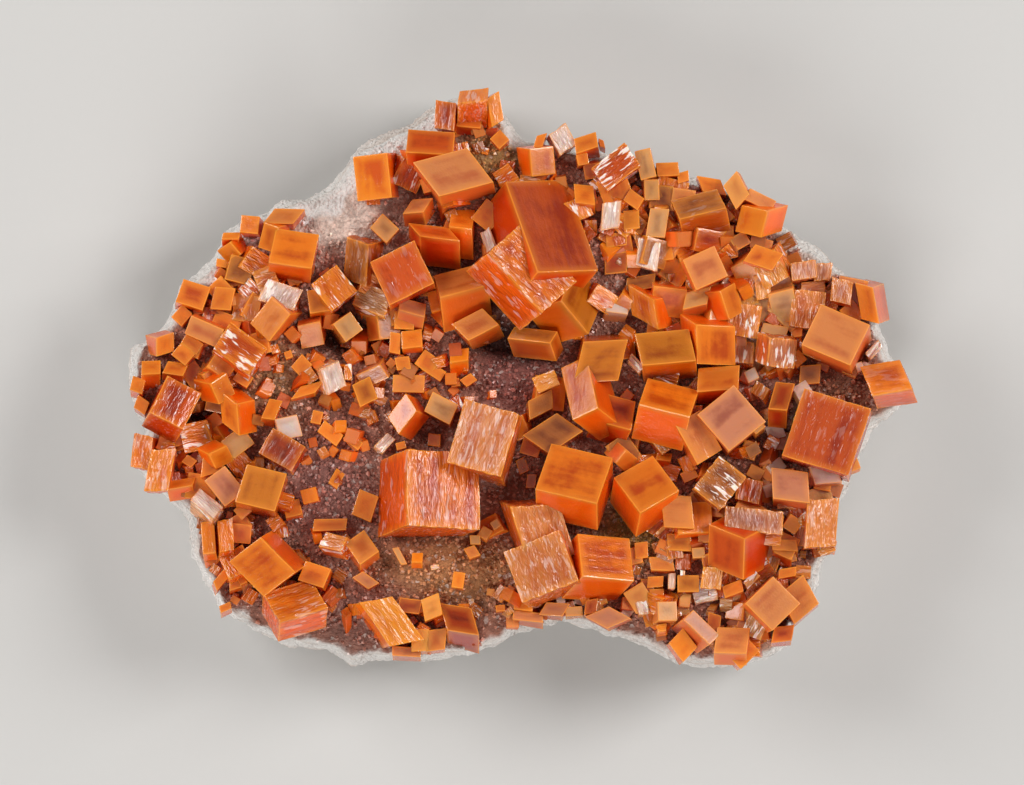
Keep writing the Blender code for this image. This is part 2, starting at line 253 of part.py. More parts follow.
# Small crystals of the crust, told in the same way and without names of their own
SMALL_CRYSTALS = (
    ((-4.9, 31.5), 1.6, (-3.1, 0.3), (0.2, 1.1), (-0.2, -1.3), 2.6),
    ((-2.6, 28.9), 1.6, (-1.2, 1.3), (1.3, 1.2), (0.0, -0.4), 2.4),
    ((-16.7, 17.1), 1.8, (-2.1, 2.0), (1.6, 1.8), (0.0, -0.4), 2.6),
    ((-4.1, 15.9), 3.4, (1.2, 0.7), (-0.9, 2.5), (0.0, -0.2), 2.0),
    ((1.5, 28.8), 1.8, (1.3, 0.4), (0.6, 1.8), (0.0, -0.3), 2.0),
    ((5.0, 28.1), 2.0, (2.1, 1.5), (-1.4, 2.6), (-0.2, -0.3), 2.8),
    ((7.3, 26.8), 2.0, (1.4, 0.3), (-0.3, 1.4), (-0.1, -0.4), 2.6),
    ((17.2, 25.5), 2.0, (2.8, 0.1), (-0.2, 1.7), (0.0, -0.4), 2.6),
    ((19.8, 24.6), 1.6, (1.4, 0.4), (-0.1, 1.3), (0.0, -0.2), 1.8),
    ((17.5, 22.5), 2.0, (-1.9, 0.0), (-0.1, 2.6), (-0.3, 0.3), 2.4),
    ((14.7, 21.2), 2.8, (-1.8, 1.3), (0.9, 1.5), (0.1, -0.3), 3.0),
    ((13.0, 18.8), 2.4, (2.0, 0.2), (-0.1, 2.4), (0.1, -0.5), 2.8),
    ((19.5, 17.2), 2.0, (-2.0, 3.3), (1.2, 0.6), (0.0, -0.3), 2.8),
    ((25.9, 23.1), 2.0, (-3.0, 0.5), (-0.8, 2.0), (0.0, -0.3), 3.0),
    ((25.2, 15.0), 1.6, (2.2, 0.5), (-0.4, 2.2), (0.0, -0.3), 2.4),
    ((17.2, 14.9), 2.2, (2.1, 0.2), (-0.4, 2.2), (0.0, -0.4), 2.6),
    ((20.7, 15.2), 1.2, (1.2, 1.1), (-1.2, 1.3), (0.0, -0.2), 1.8),
    ((26.2, 11.2), 1.2, (0.8, 1.2), (-1.2, 0.6), (0.0, -0.2), 1.5),
    ((18.6, 12.5), 1.4, (1.4, 0.5), (-0.3, 1.1), (0.0, -0.2), 1.8),
    ((10.6, 13.2), 2.2, (2.8, 0.3), (0.0, 2.6), (0.0, -0.3), 2.8),
    ((10.8, 16.6), 2.0, (2.6, 0.3), (0.0, 1.7), (0.0, -0.3), 2.6),
    ((13.2, 11.0), 1.8, (3.6, 0.6), (0.2, 1.8), (0.1, -0.6), 2.5),
    ((10.7, 8.6), 2.8, (2.8, -0.4), (0.4, 2.3), (-0.6, -1.5), 3.0),
    ((2.4, -1.6), 2.4, (2.7, 1.1), (-0.9, 1.8), (0.2, -0.3), 3.0),
    ((15.0, 0.8), 3.2, (-1.5, 1.7), (0.5, 0.8), (0.0, -0.2), 1.4),
    ((1.2, -5.0), 2.6, (3.0, 1.5), (-0.2, 2.4), (-0.3, -0.6), 3.0),
    ((-31.0, 16.0), 2.6, (-1.8, 0.6), (0.8, 3.1), (1.6, 0.6), 3.4),
    ((-32.8, 18.3), 2.0, (-2.3, 0.2), (0.2, 2.2), (0.4, -0.5), 2.8),
    ((-36.3, 17.3), 1.4, (1.4, -1.6), (-1.7, -1.1), (0.9, 0.9), 2.6),
    ((-37.4, 17.6), 1.2, (2.2, 0.0), (0.2, 0.9), (0.0, -0.6), 2.0),
    ((-36.8, 14.0), 1.2, (-1.3, 0.3), (0.1, 1.0), (0.0, -0.2), 1.6),
    ((-42.4, 6.7), 1.8, (-1.3, 1.2), (1.4, 1.6), (0.1, -0.2), 2.6),
    ((-38.8, 8.9), 2.4, (2.6, -0.2), (0.6, 2.8), (0.2, -0.3), 3.2),
    ((-35.0, 8.1), 2.2, (1.4, -1.0), (1.6, 3.0), (-1.2, 0.3), 3.2),
    ((-34.2, -1.0), 2.0, (0.9, 1.3), (-1.8, 1.1), (-0.1, -0.3), 2.2),
    ((-45.5, 2.9), 1.8, (2.2, 0.7), (0.0, 2.4), (-0.8, 0.2), 2.8),
    ((-41.9, 1.8), 2.0, (-1.8, 1.4), (1.3, 1.5), (0.2, -0.4), 3.0),
    ((-40.5, 3.1), 1.8, (-2.0, 1.6), (0.9, 1.4), (0.0, -0.3), 2.6),
    ((-45.0, 0.8), 2.0, (-2.4, -0.1), (0.0, 1.7), (-0.1, -1.4), 2.8),
    ((-42.2, 0.5), 2.0, (-2.6, 0.4), (0.7, 1.5), (-0.1, -1.1), 2.8),
    ((-47.3, -1.8), 1.4, (-1.6, 0.6), (0.4, 1.8), (0.0, -0.5), 2.6),
    ((-47.0, -4.4), 1.4, (-1.4, 1.0), (0.6, 1.6), (0.0, -0.3), 2.6),
    ((-30.7, -5.0), 2.4, (-1.7, 0.3), (1.0, 2.4), (-0.2, -1.3), 3.2),
    ((-30.0, -7.6), 2.4, (2.8, 0.6), (-0.7, 2.7), (-0.3, 0.0), 2.8),
    ((-35.8, -9.9), 2.0, (2.6, 2.0), (-1.7, 2.2), (0.0, -0.3), 3.0),
    ((-37.2, -11.4), 2.4, (-2.8, -0.8), (0.3, 2.6), (0.2, -0.4), 3.2),
    ((-44.2, -13.7), 1.8, (3.2, 0.5), (0.4, 1.1), (0.3, -1.6), 2.8),
    ((-41.2, -11.0), 1.6, (-1.2, 0.8), (0.8, 0.9), (0.0, -0.2), 1.8),
    ((-29.3, -17.3), 1.8, (2.1, 0.5), (-0.5, 2.0), (0.1, -0.7), 2.5),
    ((-22.9, -13.6), 1.6, (-1.1, 0.8), (1.0, 1.8), (-0.1, -0.5), 2.0),
    ((-26.0, -18.9), 1.8, (4.2, 0.1), (0.2, 1.5), (0.0, -0.3), 2.2),
    ((-33.4, -25.8), 4.9, (1.8, 0.0), (0.1, 0.9), (0.0, -0.1), 1.6),
    ((-37.9, -26.4), 1.8, (1.5, 1.8), (-0.5, 1.2), (-0.2, -0.4), 2.6),
    ((-35.0, -25.7), 2.2, (-1.2, 2.3), (0.9, 0.5), (0.0, -0.6), 2.5),
    ((-36.4, -26.4), 1.8, (1.6, 0.5), (0.0, 1.2), (0.0, -0.4), 2.2),
    ((-37.5, -29.2), 1.4, (1.4, 0.6), (-0.2, 0.9), (0.0, -0.3), 2.0),
    ((-27.4, 0.3), 1.6, (-1.3, 1.4), (1.4, 1.6), (0.0, -0.2), 2.2),
    ((-28.7, -2.4), 1.8, (3.0, 0.8), (1.2, 1.6), (0.1, -0.6), 2.5),
    ((-24.1, -1.9), 2.2, (2.4, 1.2), (-0.9, 3.2), (-1.1, 0.2), 3.2),
    ((-21.0, 0.1), 1.6, (-1.0, -0.1), (-0.1, 1.9), (0.0, -0.1), 1.5),
    ((-17.5, 2.0), 2.0, (-3.1, -1.4), (1.1, -1.7), (0.5, 1.0), 3.0),
    ((-21.8, 4.7), 3.0, (2.2, 1.6), (-1.6, 2.3), (-0.4, -0.1), 3.0),
    ((-20.0, -3.4), 2.0, (2.2, 1.1), (-1.0, 2.8), (-0.1, -0.5), 2.8),
    ((-15.0, 3.2), 1.8, (-1.4, 0.3), (0.1, 2.6), (0.0, -0.2), 2.2),
    ((-14.8, 3.9), 2.2, (2.6, 0.3), (-0.1, 2.2), (0.2, -0.9), 2.8),
    ((-15.4, 1.2), 1.4, (1.8, 0.2), (-0.3, 1.6), (0.0, -0.2), 2.0),
    ((-16.0, -1.5), 1.6, (4.0, -0.1), (0.1, 2.2), (0.0, -0.3), 2.4),
    ((-10.0, -0.2), 1.4, (-2.4, 1.6), (0.8, 1.2), (0.0, -0.2), 2.0),
    ((-8.8, 2.2), 2.2, (2.3, 0.3), (0.1, 1.6), (0.1, -2.0), 3.0),
    ((-6.7, -0.9), 1.4, (1.4, 0.9), (-0.9, 0.9), (0.0, -0.2), 2.0),
    ((-8.6, -0.9), 1.2, (1.2, 0.2), (-0.2, 1.0), (0.0, -0.3), 1.8),
    ((-10.0, -8.4), 0.2, (-1.6, 0.2), (0.1, 1.6), (0.0, -0.2), 1.8),
    ((-17.2, -9.2), 1.6, (1.7, 1.8), (-1.1, 0.9), (-0.1, -0.3), 2.0),
    ((-25.0, -5.6), 1.3, (-1.3, 0.3), (0.4, 1.6), (0.0, -0.2), 1.8),
    ((-23.0, -8.3), 1.5, (-2.4, 1.9), (0.9, 1.4), (0.0, -0.3), 2.2),
    ((-20.3, -8.8), 1.5, (-1.9, 1.5), (0.7, 0.9), (0.0, -0.3), 2.0),
    ((-18.7, -17.8), 1.6, (-2.4, 1.0), (1.0, 3.2), (0.2, -0.3), 2.6),
    ((-15.4, -8.8), 1.8, (1.2, 0.3), (-0.2, 0.9), (0.0, -0.2), 1.6),
    ((27.2, 2.5), 1.8, (1.3, 0.6), (-0.2, 3.1), (0.0, -0.2), 1.8),
    ((30.0, 5.8), 1.8, (3.2, -0.6), (0.5, 1.4), (0.0, -0.3), 2.5),
    ((36.8, 12.4), 2.4, (2.0, 0.1), (0.3, 2.2), (0.0, -0.3), 2.8),
    ((29.6, 10.0), 1.8, (1.9, 0.4), (-0.2, 2.8), (0.0, -0.3), 2.4),
    ((27.4, 10.2), 1.6, (1.9, 0.5), (-0.2, 2.4), (0.0, -0.3), 2.4),
    ((31.0, 8.8), 1.8, (3.5, 0.2), (0.1, 1.5), (0.0, -0.4), 2.4),
    ((35.2, 9.6), 2.2, (3.0, 0.3), (0.0, 2.6), (0.0, -0.4), 2.8),
    ((33.9, 5.3), 1.4, (1.4, 0.2), (0.2, 1.7), (0.0, -0.3), 1.8),
    ((28.6, -0.4), 2.0, (1.4, 0.7), (-0.6, 1.4), (0.0, -0.3), 2.0),
    ((43.8, 2.5), 3.0, (1.5, 1.6), (-0.6, 1.0), (0.0, -0.2), 2.2),
    ((34.9, -0.6), 2.0, (2.6, 0.2), (0.2, 2.4), (0.0, -0.3), 2.6),
    ((42.2, 0.9), 2.2, (0.9, 0.3), (-0.3, 1.2), (0.0, -0.2), 1.8),
    ((29.5, -6.8), 5.4, (1.2, 1.0), (-0.9, 0.9), (0.0, -0.2), 1.8),
    ((28.8, -9.9), 1.6, (1.5, 0.9), (-0.7, 1.4), (-0.1, -0.2), 2.0),
    ((36.9, -13.1), 2.6, (3.4, 0.3), (-0.8, 2.5), (0.0, -0.6), 3.0),
    ((41.3, -11.6), 1.4, (1.4, 0.6), (-0.5, 1.4), (0.0, -0.2), 1.8),
    ((27.9, -14.6), 1.8, (1.6, 0.3), (-0.3, 1.9), (0.0, -0.3), 2.2),
    ((30.3, -12.8), 0.8, (0.8, 0.0), (-0.1, 1.3), (0.0, -0.2), 1.4),
    ((20.6, -12.9), 1.2, (1.8, 0.8), (-0.6, 1.2), (0.0, -0.3), 2.0),
    ((17.0, -10.0), 1.6, (1.9, -0.2), (0.2, 1.0), (-0.3, -0.9), 2.0),
    ((0.7, -13.5), 0.8, (1.2, 0.0), (0.2, 1.7), (0.0, -0.2), 1.8),
    ((0.0, -11.9), 0.6, (1.2, 0.6), (-0.6, 1.8), (0.0, -0.3), 2.0),
    ((14.4, -22.4), 1.8, (1.7, 0.2), (-0.1, 2.0), (0.0, -0.3), 2.4),
    ((16.4, -23.8), 2.0, (3.0, -0.1), (-0.3, 1.7), (0.0, -0.6), 2.6),
    ((18.1, -22.1), 1.6, (1.4, 0.2), (-0.2, 1.1), (0.0, -0.2), 1.8),
    ((18.5, -21.3), 2.4, (3.0, -0.1), (-0.1, 2.1), (0.0, -0.5), 2.8),
    ((22.3, -20.4), 2.4, (2.0, 0.1), (-0.1, 2.2), (0.0, -0.4), 2.8),
    ((21.6, -22.3), 2.8, (1.6, 0.1), (-0.1, 1.3), (0.0, -0.2), 2.0),
    ((15.2, -26.9), 1.4, (1.6, 0.1), (-0.1, 2.0), (0.0, -0.3), 2.2),
    ((15.9, -26.0), 1.8, (2.0, 0.1), (0.1, 1.4), (0.0, -0.3), 2.2),
    ((16.3, -28.0), 1.8, (1.8, 0.1), (-0.1, 1.8), (0.0, -0.3), 2.2),
    ((14.9, -29.5), 1.8, (1.4, 0.5), (-0.5, 1.6), (0.0, -0.3), 2.0),
    ((18.5, -26.2), 2.6, (0.9, 0.1), (0.1, 2.0), (-0.1, -0.2), 2.0),
    ((19.7, -26.5), 3.0, (2.7, 0.0), (0.0, 2.1), (0.0, -0.4), 2.8),
    ((22.6, -26.0), 3.4, (2.5, -0.2), (0.4, 2.7), (0.0, -0.3), 3.0),
    ((25.6, -27.3), 2.6, (2.4, 0.9), (-0.3, 1.5), (0.1, -0.5), 2.6),
    ((28.5, -26.2), 3.0, (1.5, 1.6), (-0.6, 0.9), (0.0, -0.2), 2.4),
    ((31.6, -21.3), 2.4, (3.2, -0.1), (-0.2, 1.4), (0.0, -0.8), 2.6),
    ((32.3, -24.9), 3.0, (2.2, 0.4), (0.1, 1.2), (0.0, -0.3), 2.2),
    ((23.4, -31.0), 2.6, (1.6, -0.5), (0.2, 2.0), (0.0, -0.4), 2.4),
    ((31.4, -32.9), 2.4, (2.6, 0.3), (0.4, 2.0), (0.0, -0.4), 2.8),
    ((17.2, -31.6), 2.2, (1.2, 0.2), (-0.1, 1.0), (0.0, -0.4), 1.8),
    ((-15.4, -29.0), 2.6, (2.8, -0.3), (0.4, 1.8), (0.0, -0.3), 2.8),
    ((-13.6, -34.0), 2.2, (2.2, 0.1), (0.0, 2.8), (0.0, -0.3), 2.8),
    ((-9.4, -33.7), 2.2, (-2.4, -0.3), (0.3, 2.7), (0.0, -0.3), 2.8),
    ((-16.0, -34.5), 1.4, (3.6, -0.2), (0.0, 1.2), (0.0, -0.3), 2.0),
    ((-14.9, -23.1), 3.0, (0.8, 0.1), (-1.1, 2.1), (0.0, -0.2), 1.6),
    ((-13.6, -22.8), 3.2, (1.4, 0.0), (0.1, 1.2), (0.0, -0.9), 1.8),
    ((-8.6, -25.9), 3.0, (1.5, -0.2), (0.3, 2.0), (0.0, -0.3), 2.0),
    ((-6.2, -20.6), 2.6, (1.3, 0.0), (-0.1, 1.2), (0.0, -0.2), 1.6),
    ((-6.3, -22.4), 2.9, (1.4, 0.5), (-0.8, 1.3), (0.0, -0.3), 2.0),
    ((-4.2, -20.1), 2.2, (0.8, 1.2), (-1.2, 0.7), (0.0, -0.3), 1.8),
    ((-3.0, -29.0), 1.4, (1.2, 0.1), (-0.1, 0.8), (0.0, -0.2), 1.6),
    ((-0.8, -28.7), 1.4, (2.4, -0.3), (0.0, 0.9), (0.0, -0.3), 2.0),
    ((-0.9, -30.0), 1.0, (3.8, -0.4), (0.0, 1.2), (0.0, -0.4), 2.0),
    ((2.3, -29.4), 1.6, (3.0, -0.2), (1.0, 1.6), (0.0, -0.3), 2.2),
    ((5.7, -29.6), 1.2, (2.2, 0.1), (-0.1, 1.2), (0.0, -0.2), 1.8),
    ((8.0, -29.4), 1.6, (1.6, 0.3), (0.2, 1.8), (0.0, -0.3), 2.2),
)




def outline_distance(x, y):
    """How far a place lies inside the plate's outline, or 0 outside it."""
    points = np.array(OUTLINE)
    ends = np.roll(points, -1, axis=0)
    along = ends - points
    offset = np.array((x, y)) - points
    share = np.clip((offset * along).sum(axis=1) / (along * along).sum(axis=1), 0.0, 1.0)
    nearest = np.hypot(*(offset - along * share[:, None]).T).min()
    straddles = (points[:, 1] > y) != (ends[:, 1] > y)
    rise = np.where(along[:, 1] == 0.0, 1.0, along[:, 1])
    crossing = points[:, 0] + (y - points[:, 1]) / rise * along[:, 0]
    inside = np.count_nonzero(straddles & (x < crossing)) % 2 == 1
    return float(nearest) if inside else 0.0


def rock_height(x, y):
    """Height of the druse over the flat underside, with its humps, hollows, lumps and low rim."""
    height = ROCK_LEVEL
    for swell in SWELLS:
        reach = ((x - swell.x) / swell.reach_x) ** 2 + ((y - swell.y) / swell.reach_y) ** 2
        height += swell.height * math.exp(-reach)
    for lump_height, waves, place in (BROAD_LUMPS, FINE_LUMPS):
        height += lump_height * noise.noise(Vector((x * waves, y * waves, place)))
    inward = min(outline_distance(x, y) / RIM_WIDTH, 1.0)
    return height - RIM_DROP * (1.0 - inward) ** 2


def new_object(name, shape, collection):
    """An object from a bmesh whose lengths are millimetres."""
    bmesh.ops.scale(shape, vec=(MM, MM, MM), verts=shape.verts)
    bmesh.ops.recalc_face_normals(shape, faces=shape.faces)
    mesh = bpy.data.meshes.new(name)
    shape.to_mesh(mesh)
    shape.free()
    piece = bpy.data.objects.new(name, mesh)
    collection.objects.link(piece)
    return piece


def terrain(name, raised, collection):
    """A closed block whose top is the rock surface, raised by a clearance."""
    shape = bmesh.new()
    columns, rows = (round(size / TERRAIN_CELL) for size in TERRAIN_SIZE)
    bmesh.ops.create_grid(shape, x_segments=columns, y_segments=rows, size=0.5)
    for vertex in shape.verts:
        x, y = vertex.co.x * TERRAIN_SIZE[0], vertex.co.y * TERRAIN_SIZE[1]
        vertex.co = (x, y, rock_height(x, y) + raised)
    bmesh.ops.triangulate(shape, faces=shape.faces, quad_method="FIXED")
    rim = [edge for edge in shape.edges if edge.is_boundary]
    skirt = bmesh.ops.extrude_edge_only(shape, edges=rim)["geom"]
    for vertex in (part for part in skirt if isinstance(part, bmesh.types.BMVert)):
        vertex.co.z = BELOW_GROUND
    lower_rim = [edge for edge in shape.edges if edge.is_boundary]
    bmesh.ops.edgeloop_fill(shape, edges=lower_rim)
    return new_object(name, shape, collection)


def broken_wall(name, collection):
    """The plate's outline carried up level by level, each level a little ragged, from a flat underside."""
    shape = bmesh.new()
    bmesh.ops.create_circle(shape, cap_ends=True, segments=len(OUTLINE), radius=1.0)
    shape.faces.ensure_lookup_table()
    top = shape.faces[0]
    for number, ring in enumerate(WALL_RINGS):
        if number:
            below = top
            grown = bmesh.ops.extrude_face_region(shape, geom=[below])["geom"]
            top = next(part for part in grown if isinstance(part, bmesh.types.BMFace))
            if number > 1:
                bmesh.ops.delete(shape, geom=[below], context="FACES_ONLY")
        for vertex, (x, y) in zip(top.verts, OUTLINE):
            place = (x * WALL_WAVES, y * WALL_WAVES, ring.height * WALL_WAVES_UP + WALL_NOISE_PLACE)
            stir = noise.noise_vector(Vector(place))
            level = ring.height if number == 0 else ring.height + stir.z * ring.ragged
            vertex.co = (x * ring.scale + stir.x * ring.ragged, y * ring.scale + stir.y * ring.ragged, level)
    return new_object(name, shape, collection)


def square_edges(crystal):
    """The three edges in space, from their level components and the third one's true length."""
    first, second, third = (Vector((*edge, 0.0)) for edge in (crystal.first, crystal.second, crystal.third))
    fall = -math.sqrt(crystal.depth ** 2 - third.length_squared)
    first.z = -first.dot(third) / fall
    second.z = -second.dot(third) / fall
    third.z = fall
    return first, second, third


def seated(crystal):
    """The corner and edges of a crystal, with the third edge as long as it takes to root in the rock."""
    first, second, third = square_edges(crystal)
    corner = Vector((*crystal.corner, ROCK_LEVEL + crystal.lift))
    most = 1.0 if third.xy.length > SEEN_EDGE else LONGEST_ROOT
    longest = 0.0
    for start in (corner, corner + first, corner + second, corner + first + second):
        stretch = 0.0
        for _ in range(ROOT_STEPS):
            end = start + third * stretch
            over = end.z - (rock_height(end.x, end.y) - BURIED)
            if over <= 0.0 or (stretch >= 1.0 and outline_distance(end.x, end.y) == 0.0):
                break
            stretch += over / -third.z
        longest = max(longest, min(stretch, most))
    return corner, first, second, third * longest


def block(name, crystal, collection):
    """A crystal as a slanted block, chamfered where it is big."""
    corner, first, second, third = seated(crystal)
    shape = bmesh.new()
    bmesh.ops.create_cube(shape, size=1.0)
    frame = Matrix((first, second, third)).transposed().to_4x4()
    frame.translation = corner + (first + second + third) / 2
    bmesh.ops.transform(shape, matrix=frame, verts=shape.verts)
    if max(first.length, second.length) > CHAMFERED_FROM:
        bmesh.ops.bevel(shape, geom=shape.edges[:], offset=CHAMFER, segments=1, affect="EDGES")
    return new_object(name, shape, collection)


def blocks_meet(one, other):
    """Whether two seated blocks touch, by looking for a direction that separates them."""
    spans = [np.array([list(edge) for edge in seat[1:]]) for seat in (one, other)]
    starts = [np.array(seat[0]) for seat in (one, other)]
    directions = [np.cross(span[i], span[j]) for span in spans for i, j in ((0, 1), (1, 2), (2, 0))]
    directions += [np.cross(a, b) for a in spans[0] for b in spans[1]]
    for direction in directions:
        length = np.linalg.norm(direction)
        if length < 1e-6:
            continue
        reaches = []
        for start, span in zip(starts, spans):
            shares = span @ direction / length
            base = start @ direction / length
            reaches.append((base + shares[shares < 0].sum(), base + shares[shares > 0].sum()))
        if reaches[0][1] + CLOSE < reaches[1][0] or reaches[1][1] + CLOSE < reaches[0][0]:
            return False
    return True


def grown_groups(crystals):
    """Crystals that have grown into one another, as lists of them."""
    seats = [seated(crystal) for crystal in crystals]
    groups = []
    for index in range(len(crystals)):
        met = [group for group in groups if any(blocks_meet(seats[index], seats[i]) for i in group)]
        groups = [group for group in groups if group not in met]
        groups.append([index] + [i for group in met for i in group])
    return [[crystals[i] for i in group] for group in groups]


def front_size(crystal):
    """The longer edge of a crystal's front face, as it shows from above."""
    return max(math.hypot(*crystal.first), math.hypot(*crystal.second))


def combine(body, other, operation):
    """Joins another object to a body, or takes it away, as an exact Boolean."""
    modifier = body.modifiers.new(operation.title(), "BOOLEAN")
    modifier.operation = operation
    modifier.object = other
    modifier.solver = "EXACT"


def settle(body, tools):
    """Makes a body's modifiers part of its mesh, and removes the tools they used."""
    graph = bpy.context.evaluated_depsgraph_get()
    mesh = bpy.data.meshes.new_from_object(body.evaluated_get(graph))
    body.modifiers.clear()
    body.data = mesh
    for tool in tools:
        bpy.data.objects.remove(tool)
    shape = bmesh.new()
    shape.from_mesh(mesh)
    bmesh.ops.remove_doubles(shape, verts=shape.verts, dist=SMALLEST_WELD * MM)
    shape.to_mesh(mesh)
    shape.free()


def connected_bodies(shape):
    """Lists the vertices of each connected body of a bmesh, the biggest body first."""
    bodies = []
    unseen = set(shape.verts)
    while unseen:
        body = set()
        front = [unseen.pop()]
        while front:
            vertex = front.pop()
            body.add(vertex)
            near = {edge.other_vert(vertex) for edge in vertex.link_edges} & unseen
            unseen -= near
            front.extend(near)
        bodies.append(body)
    return sorted(bodies, key=spread, reverse=True)


def spread(vertices):
    """The diagonal of the box around some vertices."""
    places = np.array([vertex.co for vertex in vertices])
    return float(np.linalg.norm(np.ptp(places, axis=0)))


def separated(body, collection):
    """One object for each connected body of an object, in a collection, in place of the object."""
    whole = bmesh.new()
    whole.from_mesh(body.data)
    count = len(connected_bodies(whole))
    whole.free()
    pieces = []
    for number in range(count):
        shape = bmesh.new()
        shape.from_mesh(body.data)
        bodies = connected_bodies(shape)
        others = [vertex for index, one in enumerate(bodies) if index != number for vertex in one]
        bmesh.ops.delete(shape, geom=others, context="VERTS")
        mesh = bpy.data.meshes.new(body.name)
        shape.to_mesh(mesh)
        shape.free()
        piece = bpy.data.objects.new(body.name, mesh)
        collection.objects.link(piece)
        pieces.append(piece)
    bpy.data.objects.remove(body)
    return pieces


def distance_to(piece, crystal):
    """How far the middle of a crystal's front face is from the surface of a piece."""
    corner, first, second, _ = seated(crystal)
    middle = (corner + first / 2 + second / 2) * MM
    return (piece.closest_point_on_mesh(middle)[1] - middle).length


def finish(piece, colour, roughness):
    """Gives a piece its own material."""
    material = bpy.data.materials.new(piece.name)
    material.use_nodes = True
    surface = material.node_tree.nodes["Principled BSDF"]
    surface.inputs["Base Color"].default_value = (*colour, 1.0)
    surface.inputs["Roughness"].default_value = roughness
    surface.inputs["Metallic"].default_value = 0.0
    piece.data.materials.clear()
    piece.data.materials.append(material)


def crystal_clumps(crystals, ground, parts, tools):
    """Pieces from crystals that touch, cut clear of the rock, each body that this leaves being one piece.

    Small crystals that are left with no named one are handed back, because they are part of the crust.
    """
    blocks = [block("clump", crystal, tools) for crystal in crystals]
    body = blocks[0]
    for other in blocks[1:]:
        combine(body, other, "UNION")
    combine(body, ground, "DIFFERENCE")
    settle(body, blocks[1:])
    left = []
    pieces = separated(body, parts)
    homes = [min(pieces, key=lambda piece: distance_to(piece, crystal)) for crystal in crystals]
    for piece in pieces:
        members = [crystal for crystal, home in zip(crystals, homes) if home == piece]
        named = [crystal for crystal in members if crystal in CRYSTALS]
        if named:
            piece.name = max(named, key=front_size).name
            finish(piece, COLOURS.get(piece.name, ORANGE), CRYSTAL_ROUGHNESS)
        else:
            left += members
            bpy.data.objects.remove(piece)
    return left


def limestone_matrix(crust, parts, tools):
    """The plate: the rock surface inside the broken wall, with the small crystals of the crust joined on."""
    body = terrain("limestone_matrix", 0.0, parts)
    wall = broken_wall("wall", tools)
    combine(body, wall, "INTERSECT")
    settle(body, [wall])
    for crystal in crust:
        grown_on = block("crust", crystal, tools)
        combine(body, grown_on, "UNION")
        settle(body, [grown_on])
    finish(body, LIMESTONE, ROCK_ROUGHNESS)


def build():
    """The whole specimen, one object for each group of crystals and one for the rock."""
    noise.seed_set(NOISE_SEED)
    for old in list(bpy.data.objects):
        bpy.data.objects.remove(old)
    parts = bpy.data.collections.new(OBJECT_NAME)
    tools = bpy.data.collections.new("cutters")
    bpy.context.scene.collection.children.link(parts)
    bpy.context.scene.collection.children.link(tools)
    crystals = list(CRYSTALS) + [Crystal(f"small_{i}", *row) for i, row in enumerate(SMALL_CRYSTALS)]
    crust = []
    ground = terrain("ground", FIT_GAP, tools)
    for group in grown_groups(crystals):
        if any(crystal in CRYSTALS for crystal in group):
            crust += crystal_clumps(group, ground, parts, tools)
        else:
            crust += group
    limestone_matrix(crust, parts, tools)
    bpy.data.objects.remove(ground)


build()
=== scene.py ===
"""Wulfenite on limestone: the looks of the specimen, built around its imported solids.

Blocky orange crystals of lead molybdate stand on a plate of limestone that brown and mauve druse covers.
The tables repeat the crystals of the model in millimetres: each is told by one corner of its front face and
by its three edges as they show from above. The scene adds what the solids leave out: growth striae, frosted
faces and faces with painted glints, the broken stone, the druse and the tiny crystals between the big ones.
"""

import logging
import math
import random
from dataclasses import dataclass
from enum import Enum

import bpy
import numpy as np
from mathutils import Euler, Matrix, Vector, noise


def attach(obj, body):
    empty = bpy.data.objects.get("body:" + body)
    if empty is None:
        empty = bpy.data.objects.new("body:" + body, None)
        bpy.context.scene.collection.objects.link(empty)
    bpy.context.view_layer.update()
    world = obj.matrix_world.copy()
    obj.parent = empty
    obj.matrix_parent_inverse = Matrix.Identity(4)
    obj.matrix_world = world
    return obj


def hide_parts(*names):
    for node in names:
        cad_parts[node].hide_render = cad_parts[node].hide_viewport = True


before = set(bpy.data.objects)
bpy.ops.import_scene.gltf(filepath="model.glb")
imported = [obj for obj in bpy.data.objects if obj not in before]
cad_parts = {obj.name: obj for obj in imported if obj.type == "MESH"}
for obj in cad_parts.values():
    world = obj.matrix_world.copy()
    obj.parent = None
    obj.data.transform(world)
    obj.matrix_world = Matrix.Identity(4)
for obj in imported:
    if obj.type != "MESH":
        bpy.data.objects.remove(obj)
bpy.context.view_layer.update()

log = logging.getLogger("wulfenite")

MM = 0.001

# The rock plate, as in the model
ROCK_LEVEL = 14.0
RIM_DROP = 2.6
RIM_WIDTH = 6.0
BURIED = 0.7
BROAD_LUMPS = (0.8, 0.085, 3.7)
FINE_LUMPS = (0.35, 0.33, 9.1)

# How crystals are seated, as in the model
SEEN_EDGE = 1.45
SHORTEST_ROOT = 0.15
LONGEST_ROOT = 4.0
ROOT_STEPS = 12

# Noise vectors follow the clock unless they are given a seed
NOISE_SEED = 5

# Faces that meet at less than these angles are shaded as one
FACET_ANGLE = math.radians(28.0)
STONE_ANGLE = math.radians(50.0)


class Tone(Enum):
    """Body colours of the crystals as sRGB hex: the face, and the deeper colour inside and, as painted shade,
    down the sides towards the root.
    """

    ORANGE = ("#D86F15", "#AB3608")
    VIVID = ("#E47C12", "#C54407")
    YELLOW = ("#E88A1D", "#C5620D")
    LIGHT = ("#D98D3E", "#BD641E")
    RED = ("#BE490A", "#8A2104")
    DARK = ("#9C3408", "#5E1303")
    PEACH = ("#CE7837", "#AF4D14")
    PINK = ("#BE724C", "#924026")
    OCHRE = ("#BF6A15", "#8C3608")
    BROWN = ("#A65C25", "#722F0A")
    TAN = ("#C28C58", "#985B2C")
    MAUVE = ("#A86C55", "#793D33")
    # White is the own colour of pale crystals, and it also serves for painted glints: some tiny white blocks
    # stand where light glints
    WHITE = ("#DCC6BA", "#AE7E6C")


